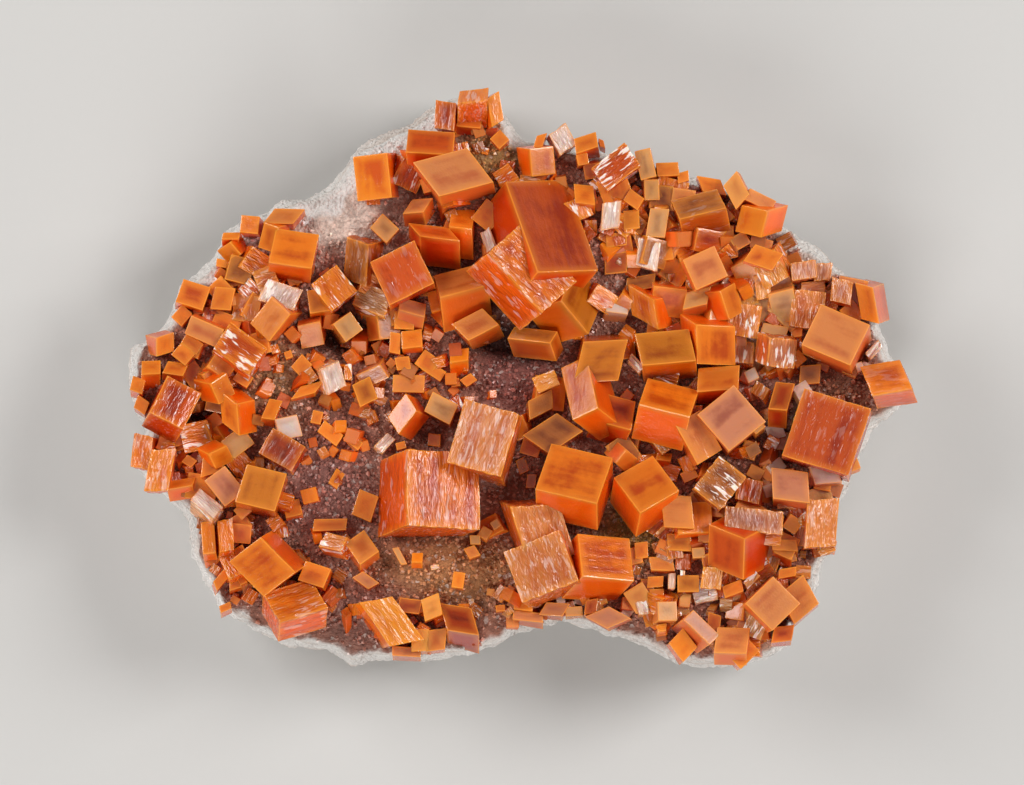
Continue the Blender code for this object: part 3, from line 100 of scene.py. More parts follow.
class Habit(Enum):
    """How a crystal's faces grew: frosting, glitter, striae and unevenness, each from 0 to 1. Glitter is the
    share of painted glints on the faces.
    """

    SMOOTH = (0.0, 0.0, 0.10, 0.25)
    FROSTED = (1.0, 0.0, 0.05, 0.20)
    RIDGED = (0.0, 0.30, 0.9, 0.45)
    GLITTER = (0.0, 1.0, 1.0, 0.6)
    FLUTED = (0.25, 0.15, 1.0, 0.4)
    ROUGH = (0.1, 0.1, 0.28, 1.0)
    BANDED = (0.15, 0.0, 0.12, 0.3)


@dataclass(frozen=True)
class Crystal:
    """One block, told by the corner and the lift of its front face and by its edges from that corner.

    The edges are as they show from above, and depth is the third one's real length. The striae run along the
    first or the second edge.
    """

    corner: tuple[float, float]
    lift: float
    first: tuple[float, float]
    second: tuple[float, float]
    third: tuple[float, float]
    depth: float
    tone: Tone = Tone.ORANGE
    habit: Habit = Habit.SMOOTH
    striae_along: int = 1


@dataclass(frozen=True)
class Swell:
    """A broad hump or hollow of the rock surface."""

    x: float
    y: float
    reach_x: float
    reach_y: float
    height: float


@dataclass(frozen=True)
class Ring:
    """One level of the broken side wall."""

    height: float
    scale: float


# The outline of the plate at its widest, clockwise from the left end
OUTLINE: tuple[tuple[float, float], ...] = (
    (-49.2, 3.6), (-47.0, 5.2), (-45.0, 6.9), (-44.0, 8.6), (-42.9, 11.3), (-40.9, 13.4), (-39.0, 15.1),
    (-37.9, 17.3), (-37.4, 18.6), (-35.0, 20.1), (-32.1, 21.1), (-30.3, 22.4), (-27.4, 22.9), (-24.6, 24.0),
    (-23.0, 25.9), (-21.5, 28.2), (-20.0, 29.6), (-16.8, 31.1), (-13.6, 32.4), (-11.8, 34.1), (-8.9, 35.3),
    (-6.0, 36.2), (-3.6, 35.4), (-1.9, 33.4), (-0.6, 31.0), (0.6, 30.1), (3.4, 29.6), (7.0, 29.0),
    (10.6, 28.6), (13.9, 28.0), (17.0, 26.4), (20.8, 25.4), (25.0, 24.6), (28.6, 23.2), (31.0, 21.2),
    (33.6, 19.2), (36.3, 17.3), (38.3, 15.9), (40.8, 13.4), (42.3, 11.7), (44.1, 11.7), (44.9, 9.6),
    (45.6, 6.4), (46.8, 3.4), (48.2, 0.8), (48.9, -1.8), (48.4, -3.4), (45.8, -4.9), (44.5, -6.1),
    (43.4, -8.1), (42.2, -11.2), (40.7, -14.6), (40.0, -18.1), (39.3, -21.2), (37.9, -23.2), (37.5, -26.0),
    (36.6, -28.6), (34.5, -31.2), (33.8, -33.3), (31.3, -35.2), (28.4, -35.6), (26.3, -36.2), (22.9, -36.3),
    (19.8, -35.7), (16.7, -33.9), (13.3, -32.8), (9.1, -31.4), (5.4, -30.4), (2.0, -31.3), (-0.4, -32.0),
    (-2.8, -33.4), (-7.0, -34.7), (-12.4, -35.6), (-16.2, -35.4), (-19.7, -35.5), (-21.1, -36.1),
    (-22.9, -35.0), (-24.8, -34.1), (-27.7, -33.8), (-30.9, -33.0), (-33.4, -31.5), (-36.3, -30.1),
    (-37.7, -28.8), (-39.2, -26.6), (-40.4, -24.3), (-41.6, -22.2), (-41.4, -19.2), (-41.7, -17.4),
    (-43.9, -15.4), (-46.4, -13.6), (-48.3, -11.0), (-47.8, -8.0), (-47.3, -6.0), (-48.7, -3.5),
    (-49.4, -0.7),
)

# Levels of the broken side wall, from the flat underside up: height and scale of the outline
WALL_RINGS: tuple[Ring, ...] = (
    Ring(0.0, 0.962),
    Ring(3.4, 0.982),
    Ring(7.0, 0.998),
    Ring(10.8, 0.976),
    Ring(30.0, 0.970),
)

# Broad forms of the rock surface: humps are positive, hollows and caves negative
SWELLS: tuple[Swell, ...] = (
    Swell(-9.0, -24.0, 8.5, 4.2, 2.4),
    Swell(-24.0, -14.0, 9.0, 7.0, 1.0),
    Swell(2.0, 14.0, 14.0, 12.0, 2.0),
    Swell(38.0, -6.0, 10.0, 9.0, 1.0),
    Swell(-32.0, 3.0, 6.0, 6.0, 0.8),
    Swell(12.0, -22.0, 13.0, 7.0, 1.0),
    Swell(-21.5, 5.4, 4.6, 2.6, -4.0),
    Swell(-1.5, 4.6, 4.2, 2.2, -3.4),
    Swell(-39.8, -6.4, 2.4, 2.8, -3.2),
    Swell(23.4, -17.0, 2.6, 2.0, -2.6),
    Swell(32.4, -7.6, 2.8, 2.2, -2.6),
    Swell(18.4, -26.6, 2.0, 2.0, -2.0),
    Swell(-9.0, 16.0, 3.6, 4.0, -2.2),
    Swell(-2.8, -13.6, 4.2, 1.8, -1.6),
    Swell(24.0, 20.6, 5.0, 3.0, -1.0),
    Swell(14.0, -18.0, 2.2, 3.0, -1.2),
    Swell(-11.0, -6.4, 2.6, 1.8, -1.8),
)

# The crystals, under the node of the clump that they have grown into
CLUMPS: dict[str, tuple[Crystal, ...]] = {
    "notch_cube": (
        Crystal((-16, 22.8), 5, (-4.3, -0.5), (-0.6, 5.6), (1, 0.1), 5.5, Tone.VIVID, striae_along=2),
    ),
    "upper_front_block": (
        Crystal((-14.3, 28.5), 4.4, (5.9, -0.4), (0.3, 2.9), (0.3, -3.5), 6, Tone.RED),
        Crystal((-10.1, 22.9), 6.6, (6.8, 1.8), (-3.3, 4.3), (0.4, -1.6), 7, Tone.PEACH, Habit.FROSTED),
    ),
    "tip_block": (
        Crystal((-7.8, 34.6), 3.6, (3.7, 0.4), (0.2, 1.6), (0, -3.4), 4.5, Tone.ORANGE, Habit.RIDGED, 2),
        Crystal((-8.2, 31.1), 2.6, (-2.6, 0.4), (0.2, 3.6), (0.6, -0.5), 4, Tone.RED, Habit.ROUGH, 2),
        Crystal((-3.5, 31.6), 2.4, (1.5, 1), (-0.6, 3.6), (-0.9, -0.3), 4, Tone.VIVID, striae_along=2),
        Crystal((-4.9, 31.5), 1.6, (-3.1, 0.3), (0.2, 1.1), (-0.2, -1.3), 2.6, Tone.RED),
    ),
    "shoulder_block": (
        Crystal((-14.7, 20.8), 3.2, (2.6, 0.2), (1.2, 1.8), (0.3, -1.8), 4, Tone.PEACH, Habit.FROSTED),
    ),
    "centre_tall": (
        Crystal((-6, 18.9), 3.6, (-2.9, 0.3), (0.4, 2.4), (0.2, -3.9), 5),
        Crystal((-7.5, 17.4), 4.2, (-5, 0.6), (-1.5, 1.7), (0.1, -3.6), 5.2, Tone.RED, Habit.BANDED),
        Crystal((-18.9, 16.9), 3.4, (-2.8, 1), (-0.4, -5.2), (2, 0.6), 4.5, Tone.BROWN, Habit.FLUTED, 2),
        Crystal((-16.3, 9.3), 6.6, (5.6, 2.8), (-2.5, 5.4), (0.1, -0.7), 6, Tone.RED, Habit.ROUGH, 2),
        Crystal((-15.2, 8.8), 3.4, (3.3, -0.9), (0.2, 1.6), (-0.4, -2.2), 4, Tone.PINK, Habit.FROSTED),
        Crystal((-23.5, 8.6), 4, (3.2, 2.5), (-2.6, 3.4), (-0.2, -0.6), 5, Tone.ORANGE, Habit.GLITTER, 2),
        Crystal((-26.3, 8.3), 2.4, (2.6, 0.4), (-0.4, 2.9), (0, -0.8), 4, Tone.OCHRE, striae_along=2),
        Crystal((-17, 7.8), 3, (-4, 1.7), (1, 3), (0.5, -1.2), 3.5, Tone.TAN, Habit.GLITTER),
        Crystal((-10, 10.3), 5.6, (6.1, 1.6), (-0.8, 2.8), (0.5, -4.4), 6, Tone.PEACH),
        Crystal((-6.5, 4.9), 4.4, (3.9, 2), (-2.1, 2.1), (0.5, -1), 4.5, Tone.PEACH),
        Crystal((2.2, 13.4), 11, (7.6, 0.3), (-4, 11.4), (-3, -3.7), 7, Tone.RED, striae_along=2),
        Crystal((2.8, 8.4), 10.2, (4.4, 3.9), (-6.8, 7.4), (-2.8, -2.2), 7.5, Tone.ORANGE, Habit.RIDGED, 2),
        Crystal((5.1, 9.9), 7.6, (3.5, -4.2), (2.5, 6), (-4.5, -1.3), 5.8, Tone.OCHRE, striae_along=2),
        Crystal((-4.1, 15.9), 3.4, (1.2, 0.7), (-0.9, 2.5), (0, -0.2), 2, Tone.WHITE, Habit.GLITTER, 2),
        Crystal((-14.8, 3.9), 2.2, (2.6, 0.3), (-0.1, 2.2), (0.2, -0.9), 2.8),
    ),
    "silver_plate_left": (
        Crystal((-28.4, 8.7), 2.8, (1.3, 2.6), (-4.4, 1.4), (-0.3, -0.5), 4, Tone.WHITE, Habit.GLITTER),
        Crystal((-31.4, 4.8), 3.2, (2.7, 3.4), (-2.4, 2.3), (1.2, 0.2), 4, Tone.PEACH),
        Crystal((-35, 8.1), 2.2, (1.4, -1), (1.6, 3), (-1.2, 0.3), 3.2, striae_along=2),
    ),
    "centre_foot": (
        Crystal((-1.6, 5.2), 3.4, (5.4, -0.6), (0.9, 1.5), (0.8, -2.3), 4, Tone.BROWN),
    ),
    "centre_top_right": (
        Crystal((9.4, 21.9), 3.6, (-2.5, 0.3), (-0.2, 2.4), (0.1, -1.4), 3.6),
    ),
    "two_tone_block": (
        Crystal((9.7, -3.5), 8, (-1.4, 6.5), (-3.2, -1.5), (3.4, -2.6), 6.9, Tone.ORANGE, Habit.BANDED),
        Crystal((9.2, -5), 4.6, (4.7, -1.3), (0.6, 3.6), (-0.9, -2.2), 5, Tone.RED),
        Crystal((13.5, 5.1), 5, (-5.6, -0.3), (-1.2, -5.2), (-0.2, 0.8), 5, Tone.OCHRE),
    ),
    "brown_face_block": (
        Crystal((15.2, 1.8), 6.4, (6.8, 0.6), (-0.9, 4), (0.3, -2.1), 6.5, Tone.OCHRE),
        Crystal((22.1, 2), 5, (4.9, -0.2), (-0.1, 4.9), (-2, 1.4), 5, Tone.ORANGE, Habit.BANDED, 2),
        Crystal((20.3, 8.8), 3.6, (3.1, 0.7), (0.5, 2.2), (0.1, -1.3), 3, Tone.TAN),
        Crystal((26.2, 7.5), 3.8, (1.9, 1.1), (-1.2, 3.6), (-2.8, -0.2), 4, striae_along=2),
        Crystal((22, 11.2), 5.4, (4, 1.8), (-1.7, 3.8), (-0.3, -0.4), 5, Tone.PEACH, Habit.FROSTED),
        Crystal((26.2, 11.2), 1.2, (0.8, 1.2), (-1.2, 0.6), (0, -0.2), 1.5, Tone.WHITE, Habit.GLITTER),
        Crystal((15, 0.8), 3.2, (-1.5, 1.7), (0.5, 0.8), (0, -0.2), 1.4, Tone.WHITE, Habit.GLITTER),
    ),
    "brown_back_block": (
        Crystal((17.2, 6.3), 4.4, (-3.2, 1.8), (-0.5, 3.8), (2.5, 0.4), 4.5, Tone.ORANGE, Habit.ROUGH, 2),
        Crystal((13.2, 11), 1.8, (3.6, 0.6), (0.2, 1.8), (0.1, -0.6), 2.5, Tone.BROWN),
    ),
    "milky_top_block": (
        Crystal((14.8, -3), 6.4, (6.4, -1.6), (1.2, 3.3), (-0.9, -4.3), 6),
        Crystal((22.1, -1.5), 4.2, (5.2, 0.4), (0.2, 3), (0.1, -1.6), 4.5, Tone.ORANGE, Habit.BANDED),
        Crystal((26.1, -8.9), 6.4, (4.6, 3.7), (-4, 4.6), (-0.2, -0.6), 6, Tone.PINK, Habit.FROSTED),
        Crystal((22.2, -10.6), 5.2, (3.1, 1.9), (-2.8, 5), (-0.6, -0.3), 5, Tone.PEACH, Habit.BANDED, 2),
        Crystal((29.5, -6.8), 5.4, (1.2, 1), (-0.9, 0.9), (0, -0.2), 1.8, Tone.TAN),
    ),
    "pink_fluted_block": (
        Crystal((34.3, 1.4), 3.6, (-3.5, 0.3), (0.4, 3.6), (-1.5, 0.8), 4, Tone.PINK, Habit.GLITTER, 2),
        Crystal((30, 5.8), 1.8, (3.2, -0.6), (0.5, 1.4), (0, -0.3), 2.5, Tone.TAN, Habit.FROSTED),
    ),
    "big_peach_square": (
        Crystal((35.1, 4.4), 6.2, (6.1, -2.6), (2.5, 5.1), (0.3, -1.2), 5.5, Tone.PEACH, Habit.FROSTED),
        Crystal((44, -2), 5, (5, 0.9), (-1.5, 3.7), (0.9, -1.7), 6, Tone.ORANGE, Habit.ROUGH),
        Crystal((42.2, 0.9), 2.2, (0.9, 0.3), (-0.3, 1.2), (0, -0.2), 1.8, Tone.WHITE, striae_along=2),
    ),
    "right_edge_block": (
        Crystal((44.9, 7), 3.4, (-2.2, 0.6), (-0.8, 4.6), (0.9, 0.3), 4, Tone.ORANGE, Habit.BANDED, 2),
    ),
    "fluted_peach_a": (
        Crystal((34, 12.4), 3.2, (3.2, 0.5), (-0.2, 2.2), (0, -0.5), 3, Tone.PINK, Habit.FLUTED, 2),
        Crystal((36.8, 12.4), 2.4, (2, 0.1), (0.3, 2.2), (0, -0.3), 2.8, Tone.PINK, Habit.FLUTED, 2),
        Crystal((35.2, 9.6), 2.2, (3, 0.3), (0, 2.6), (0, -0.4), 2.8, Tone.PINK, Habit.FLUTED),
    ),
    "fluted_peach_b": (
        Crystal((38.7, 9.9), 3.4, (2.6, -0.6), (0.3, 3), (0.3, -0.4), 4, Tone.PEACH, Habit.FLUTED, 2),
    ),
    "red_glitter_block": (
        Crystal((10.9, 23.6), 4.6, (4.2, 3.2), (-2, 2.9), (0.1, -0.5), 5, Tone.RED, Habit.GLITTER),
        Crystal((15.1, 25), 3, (2, 0.5), (-0.8, 3.6), (0.2, -0.3), 4, Tone.TAN, striae_along=2),
        Crystal((17.2, 25.5), 2, (2.8, 0.1), (-0.2, 1.7), (0, -0.4), 2.6),
        Crystal((19.8, 24.6), 1.6, (1.4, 0.4), (-0.1, 1.3), (0, -0.2), 1.8),
        Crystal((17.5, 22.5), 2, (-1.9, 0), (-0.1, 2.6), (-0.3, 0.3), 2.4, Tone.TAN, striae_along=2),
        Crystal((14.7, 21.2), 2.8, (-1.8, 1.3), (0.9, 1.5), (0.1, -0.3), 3),
        Crystal((13, 18.8), 2.4, (2, 0.2), (-0.1, 2.4), (0.1, -0.5), 2.8, Tone.OCHRE, striae_along=2),
    ),
    "upper_edge_block": (
        Crystal((7, 28.3), 2.6, (2.8, 0.9), (-0.3, 1.9), (0.2, -0.9), 4),
        Crystal((5, 28.1), 2, (2.1, 1.5), (-1.4, 2.6), (-0.2, -0.3), 2.8, Tone.WHITE, Habit.GLITTER, 2),
        Crystal((7.3, 26.8), 2, (1.4, 0.3), (-0.3, 1.4), (-0.1, -0.4), 2.6, striae_along=2),
    ),
    "upper_orange_block": (
        Crystal((1.5, 25.4), 3.2, (3, 0.4), (-0.3, 3.5), (-1.7, 0.3), 4, striae_along=2),
        Crystal((1.5, 28.8), 1.8, (1.3, 0.4), (0.6, 1.8), (0, -0.3), 2, striae_along=2),
    ),
    "silver_striped_small": (
        Crystal((10.1, 18.7), 3.4, (2.3, 0.4), (0.3, 3.4), (-0.2, 0.1), 3, Tone.WHITE, Habit.GLITTER, 2),
    ),
    "mauve_front_block": (
        Crystal((15.7, 17.9), 3.2, (2.4, -0.1), (0.6, 3.6), (0.1, -0.2), 3, Tone.TAN, Habit.FROSTED, 2),
        Crystal((19.9, 20.1), 4.6, (5.9, 1.4), (-1.1, 2.4), (0.8, -3.3), 5.5, Tone.BROWN, Habit.ROUGH),
        Crystal((19.5, 17.2), 2, (-2, 3.3), (1.2, 0.6), (0, -0.3), 2.8, Tone.BROWN),
        Crystal((25.9, 23.1), 2, (-3, 0.5), (-0.8, 2), (0, -0.3), 3),
        Crystal((20.7, 15.2), 1.2, (1.2, 1.1), (-1.2, 1.3), (0, -0.2), 1.8, Tone.WHITE, Habit.GLITTER, 2),
    ),
    "pink_peach_block": (
        Crystal((27, 21.3), 3.4, (1.7, 1.9), (-1.6, 3), (0.3, -0.1), 4, Tone.LIGHT, Habit.FROSTED, 2),
        Crystal((31.3, 21), 3, (0.8, 1.4), (-3.3, 1.6), (-0.4, -0.3), 4, Tone.PEACH, Habit.FROSTED),
        Crystal((30.1, 17.8), 4, (-3.2, 0.8), (0.8, 3.3), (2.7, 0.8), 4.5, Tone.VIVID, striae_along=2),
    ),
    "banded_block": (
        Crystal((31.5, 13.7), 4.2, (1.5, 2.1), (-3.6, 1.2), (-0.2, -0.5), 4),
    ),
    "lavender_plate": (
        Crystal((14.4, 14.3), 3, (2.8, -0.7), (0.5, 3.5), (0.1, -0.3), 3.5, Tone.WHITE, Habit.GLITTER, 2),
        Crystal((17.2, 14.9), 2.2, (2.1, 0.2), (-0.4, 2.2), (0, -0.4), 2.6, Tone.VIVID, striae_along=2),
    ),
    "upper_left_front": (
        Crystal((-31.4, 14.7), 5, (5.4, -0.8), (0.9, 4.3), (-0.3, -2.2), 6.5),
        Crystal((-32.2, 19.6), 2.4, (3.8, -0.1), (1.5, 1.9), (0.1, -0.7), 3, Tone.PEACH),
        Crystal((-31, 16), 2.6, (-1.8, 0.6), (0.8, 3.1), (1.6, 0.6), 3.4, striae_along=2),
    ),
    "left_glitter_big": (
        Crystal((-39.7, 8.7), 3.2, (-3.4, 1.1), (1, 2.9), (-0.2, -0.7), 4.5),
        Crystal((-41.1, 8.1), 3, (4.1, -1.8), (-0.9, -2.3), (0.9, 0.5), 4.5, Tone.PEACH, Habit.FROSTED),
        Crystal((-33.8, 0.6), 5, (2.2, 3.4), (-4.6, 3.3), (-0.3, -1.3), 5, Tone.ORANGE, Habit.GLITTER, 2),
        Crystal((-42.4, 6.7), 1.8, (-1.3, 1.2), (1.4, 1.6), (0.1, -0.2), 2.6, striae_along=2),
        Crystal((-34.2, -1), 2, (0.9, 1.3), (-1.8, 1.1), (-0.1, -0.3), 2.2, striae_along=2),
        Crystal((-41.9, 1.8), 2, (-1.8, 1.4), (1.3, 1.5), (0.2, -0.4), 3),
        Crystal((-40.5, 3.1), 1.8, (-2, 1.6), (0.9, 1.4), (0, -0.3), 2.6),
        Crystal((-42.2, 0.5), 2, (-2.6, 0.4), (0.7, 1.5), (-0.1, -1.1), 2.8),
    ),
    "left_block": (
        Crystal((-42, -6.2), 5.8, (-4.2, 2.2), (2.2, 4.6), (-1.3, -1.8), 6, Tone.RED, Habit.ROUGH, 2),
    ),
    "fluted_orange_left": (
        Crystal((-44, -13.8), 3.4, (-3, -0.1), (0.9, 5.2), (0.2, -0.2), 4, Tone.VIVID, Habit.RIDGED, 2),
        Crystal((-46.5, -11.3), 2.6, (-2.3, 0.5), (0.6, 4.2), (0.4, -0.2), 3.5, Tone.ORANGE, Habit.RIDGED, 2),
        Crystal((-44.2, -13.7), 1.8, (3.2, 0.5), (0.4, 1.1), (0.3, -1.6), 2.8),
    ),
    "left_slant_block": (
        Crystal((-37.6, -3.1), 3.6, (2, 1.4), (-1.1, 2.6), (-2.3, 0.5), 4.5, striae_along=2),
        Crystal((-35.1, -7), 4, (-2.2, 1.7), (-0.3, 4), (2.2, 0.5), 4, striae_along=2),
        Crystal((-35.8, -9.9), 2, (2.6, 2), (-1.7, 2.2), (0, -0.3), 3, Tone.TAN),
    ),
    "ochre_tall": (
        Crystal((-30.6, -16.4), 6, (-5, 1.2), (1.5, 4.7), (0.1, -1.2), 6.5, Tone.OCHRE, striae_along=2),
        Crystal((-36.9, -15.8), 3.8, (-2.6, 3.2), (2.6, 1.9), (0, -0.3), 3.5, Tone.PINK, Habit.FROSTED),
        Crystal((-37.2, -11.4), 2.4, (-2.8, -0.8), (0.3, 2.6), (0.2, -0.4), 3.2),
    ),
    "ochre_back": (
        Crystal((-28.6, -11.5), 4.2, (-4.2, 2.4), (1.9, 3.2), (0.2, -0.6), 5, Tone.DARK, Habit.ROUGH, 2),
        Crystal((-30.7, -5), 2.4, (-1.7, 0.3), (1, 2.4), (-0.2, -1.3), 3.2, striae_along=2),
        Crystal((-30, -7.6), 2.4, (2.8, 0.6), (-0.7, 2.7), (-0.3, 0), 2.8, Tone.WHITE, Habit.FROSTED),
    ),
    "lower_left_pair_b": (
        Crystal((-38.4, -17.5), 3.2, (-2.9, 2.4), (1.3, 1.6), (-0.1, -1.6), 4, Tone.WHITE, Habit.GLITTER),
        Crystal((-38, -21.6), 3, (-1.7, -0.2), (-0.3, 4), (0.2, -1.4), 4, striae_along=2),
        Crystal((-35.7, -21.2), 3.4, (-1.9, -0.4), (-0.3, 4), (-0.3, -1.4), 4, Tone.ORANGE, Habit.RIDGED, 2),
    ),
    "banded_corner_block": (
        Crystal((-32, -27.1), 5.2, (4, 3.1), (-4.4, 4.4), (1.5, 0.9), 6, Tone.ORANGE, Habit.BANDED),
        Crystal((-30, -30.2), 6.2, (6, 1.8), (-2.2, 3.6), (-0.2, -2.6), 4.8, Tone.ORANGE, Habit.RIDGED),
        Crystal((-24.6, -26), 3.6, (-3.2, 1), (1, 2.4), (0.2, -0.6), 3.5),
        Crystal((-33.4, -25.8), 4.9, (1.8, 0), (0.1, 0.9), (0, -0.1), 1.6, Tone.WHITE, Habit.GLITTER),
    ),
    "glint_edge_block": (
        Crystal((-25.3, -20.8), 3.4, (2.8, -0.6), (1, 1.8), (0.9, -1.2), 3.5, Tone.PEACH, Habit.GLITTER),
        Crystal((-20, -23.1), 4.4, (2.4, 1.7), (-1.9, 2.7), (0.1, -1.2), 4, Tone.PEACH),
    ),
    "tan_pink_pair": (
        Crystal((-19, -26.2), 2.6, (1.4, 0.8), (-2, 1.5), (0, -0.4), 3, Tone.PINK),
    ),
    "big_ridged_block": (
        Crystal((-14, -18.1), 9.4, (9, -0.6), (-0.1, 9.5), (-4, -1.7), 10.1, Tone.ORANGE, Habit.RIDGED, 2),
        Crystal((-2.4, -12.1), 8.4, (-6.8, 1.9), (2.3, 7.9), (0.5, -1), 7, Tone.PEACH, Habit.RIDGED, 2),
    ),
    "wedge_block": (
        Crystal((-15.2, -6.8), 4, (2.3, 3), (-1.4, 2.2), (1.6, -0.8), 3.8, striae_along=2),
        Crystal((-8.8, -5.6), 3.6, (-3.2, 1.7), (1.1, 2.5), (0.1, -0.3), 3.4, Tone.TAN),
    ),
    "front_banded_block": (
        Crystal((3.6, -9.2), 4.4, (-3.3, 2.3), (4.3, 2.8), (0, -0.5), 4, Tone.BROWN),
        Crystal((9.6, -15.4), 9.4, (-7.7, 1.8), (2, 5.7), (0.1, -3.4), 6.4),
        Crystal((-1.2, -15.8), 6.6, (6.2, 0.3), (1.9, -6.4), (-1.4, 0.7), 6.5, Tone.PEACH, Habit.FLUTED, 2),
        Crystal((0.3, -27.8), 6.6, (7, 2.8), (-2.4, 6.3), (1.1, -0.9), 6.4, Tone.PEACH, Habit.RIDGED, 2),
        Crystal((7.8, -24.5), 7.2, (6.5, -0.6), (-0.6, 5.3), (-2.6, -2.9), 6.8, Tone.ORANGE, Habit.BANDED),
        Crystal((10.9, -31.1), 3, (3, 1.3), (-2.8, 1.5), (0.2, -0.3), 4, Tone.PINK, Habit.FROSTED),
        Crystal((-0.8, -28.7), 1.4, (2.4, -0.3), (0, 0.9), (0, -0.3), 2, Tone.VIVID),
        Crystal((-0.9, -30), 1, (3.8, -0.4), (0, 1.2), (0, -0.4), 2, Tone.PINK),
        Crystal((2.3, -29.4), 1.6, (3, -0.2), (1, 1.6), (0, -0.3), 2.2, Tone.PINK),
        Crystal((5.7, -29.6), 1.2, (2.2, 0.1), (-0.1, 1.2), (0, -0.2), 1.8, Tone.TAN),
        Crystal((8, -29.4), 1.6, (1.6, 0.3), (0.2, 1.8), (0, -0.3), 2.2, Tone.RED, striae_along=2),
    ),
    "corner_cube": (
        Crystal((15, -16.6), 7.6, (4.9, 2.8), (-3.3, 4.4), (-0.5, -3.1), 6.2, Tone.ORANGE, Habit.BANDED),
        Crystal((18, -18.4), 4.4, (3.8, -0.2), (-0.4, 4.1), (0, -0.3), 4.5, Tone.PEACH),
    ),
    "rough_square_right": (
        Crystal((41, -12), 6.6, (-8.4, 2.6), (2.9, 8.4), (0.2, -0.6), 6.2, Tone.RED, Habit.ROUGH, 2),
        Crystal((36.9, -13.1), 2.6, (3.4, 0.3), (-0.8, 2.5), (0, -0.6), 3, Tone.WHITE, Habit.FROSTED),
        Crystal((41.3, -11.6), 1.4, (1.4, 0.6), (-0.5, 1.4), (0, -0.2), 1.8, Tone.LIGHT, Habit.FROSTED),
    ),
    "dark_orange_block": (
        Crystal((33.4, -3.8), 4.6, (-2.4, 0.2), (1, 3.4), (0, -2.3), 5, Tone.DARK, striae_along=2),
    ),
    "silver_striated": (
        Crystal((25, -16.3), 5.6, (3.3, 4.1), (-3.4, 2.8), (-0.2, -0.3), 4.5, Tone.BROWN, Habit.GLITTER, 2),
        Crystal((27.9, -14.6), 1.8, (1.6, 0.3), (-0.3, 1.9), (0, -0.3), 2.2, striae_along=2),
    ),
    "right_column": (
        Crystal((31.6, -14.8), 4.4, (4.6, -0.6), (-0.2, 3.9), (0.1, -0.9), 4, Tone.PINK, Habit.FROSTED),
        Crystal((39.5, -20.7), 4.4, (-4, -0.3), (0.4, 6), (-0.1, -0.3), 5, Tone.PEACH, Habit.RIDGED, 2),
    ),
    "pink_mauve_slab": (
        Crystal((25.6, -18.6), 4.2, (7.2, -0.8), (0.1, 2.9), (0, -0.4), 4, Tone.PINK, Habit.FLUTED, 2),
        Crystal((27.9, -25), 5, (-4.4, 1.8), (0.1, 5.2), (3.3, 1.6), 6, Tone.RED, Habit.BANDED, 2),
        Crystal((22.3, -20.4), 2.4, (2, 0.1), (-0.1, 2.2), (0, -0.4), 2.8, Tone.PEACH, striae_along=2),
        Crystal((22.6, -26), 3.4, (2.5, -0.2), (0.4, 2.7), (0, -0.3), 3, Tone.LIGHT, Habit.FLUTED, 2),
        Crystal((28.5, -26.2), 3, (1.5, 1.6), (-0.6, 0.9), (0, -0.2), 2.4, Tone.TAN, Habit.GLITTER),
    ),
    "corner_peach_square": (
        Crystal((31.5, -31.3), 6.2, (3.5, 3.4), (-3.4, 3.4), (-0.5, -0.4), 5.5, Tone.PEACH, Habit.FROSTED),
        Crystal((34.3, -30.5), 4.2, (3.1, 2.6), (-2, 3.6), (0, -0.4), 4.5, Tone.PEACH),
        Crystal((31.4, -32.9), 2.4, (2.6, 0.3), (0.4, 2), (0, -0.4), 2.8, Tone.RED),
    ),
    "lower_mauve_block": (
        Crystal((23.7, -33.1), 4.2, (-3.3, 3.2), (1.3, 1.2), (-1.5, -1.2), 4.5, Tone.PINK, Habit.FROSTED),
        Crystal((24.2, -34.1), 4.4, (4.1, -0.1), (0.5, 3.2), (0.1, -1.6), 4, Tone.PEACH, Habit.FROSTED),
        Crystal((20.4, -35.3), 3, (1.8, 1.9), (-1.8, 2.4), (-0.2, -0.3), 3.5, Tone.VIVID),
        Crystal((23.4, -31), 2.6, (1.6, -0.5), (0.2, 2), (0, -0.4), 2.4, Tone.RED, striae_along=2),
    ),
    "tan_square_low": (
        Crystal((17.3, -30.1), 3.6, (2.4, 0), (-0.1, 2.4), (-0.6, -0.4), 2.8, Tone.TAN, Habit.FROSTED),
        Crystal((15.2, -26.9), 1.4, (1.6, 0.1), (-0.1, 2), (0, -0.3), 2.2, striae_along=2),
        Crystal((15.9, -26), 1.8, (2, 0.1), (0.1, 1.4), (0, -0.3), 2.2),
        Crystal((16.3, -28), 1.8, (1.8, 0.1), (-0.1, 1.8), (0, -0.3), 2.2, striae_along=2),
    ),
    "yellow_block": (
        Crystal((-16.2, -33.3), 4, (4.2, 0.9), (-3.9, 5.4), (-0.9, -0.3), 5, Tone.YELLOW, Habit.ROUGH, 2),
        Crystal((-11.9, -30.2), 3.4, (2.2, 0.9), (-0.5, 2.7), (0, -0.4), 3.5, Tone.LIGHT),
        Crystal((-5.1, -31.9), 3.8, (-4, 0.6), (-1, 3.4), (0, -1.4), 4, Tone.DARK),
        Crystal((-15.4, -29), 2.6, (2.8, -0.3), (0.4, 1.8), (0, -0.3), 2.8, Tone.DARK),
        Crystal((-13.6, -34), 2.2, (2.2, 0.1), (0, 2.8), (0, -0.3), 2.8, Tone.LIGHT, striae_along=2),
        Crystal((-9.4, -33.7), 2.2, (-2.4, -0.3), (0.3, 2.7), (0, -0.3), 2.8, Tone.PEACH, striae_along=2),
        Crystal((-16, -34.5), 1.4, (3.6, -0.2), (0, 1.2), (0, -0.3), 2, Tone.PINK),
    ),
}

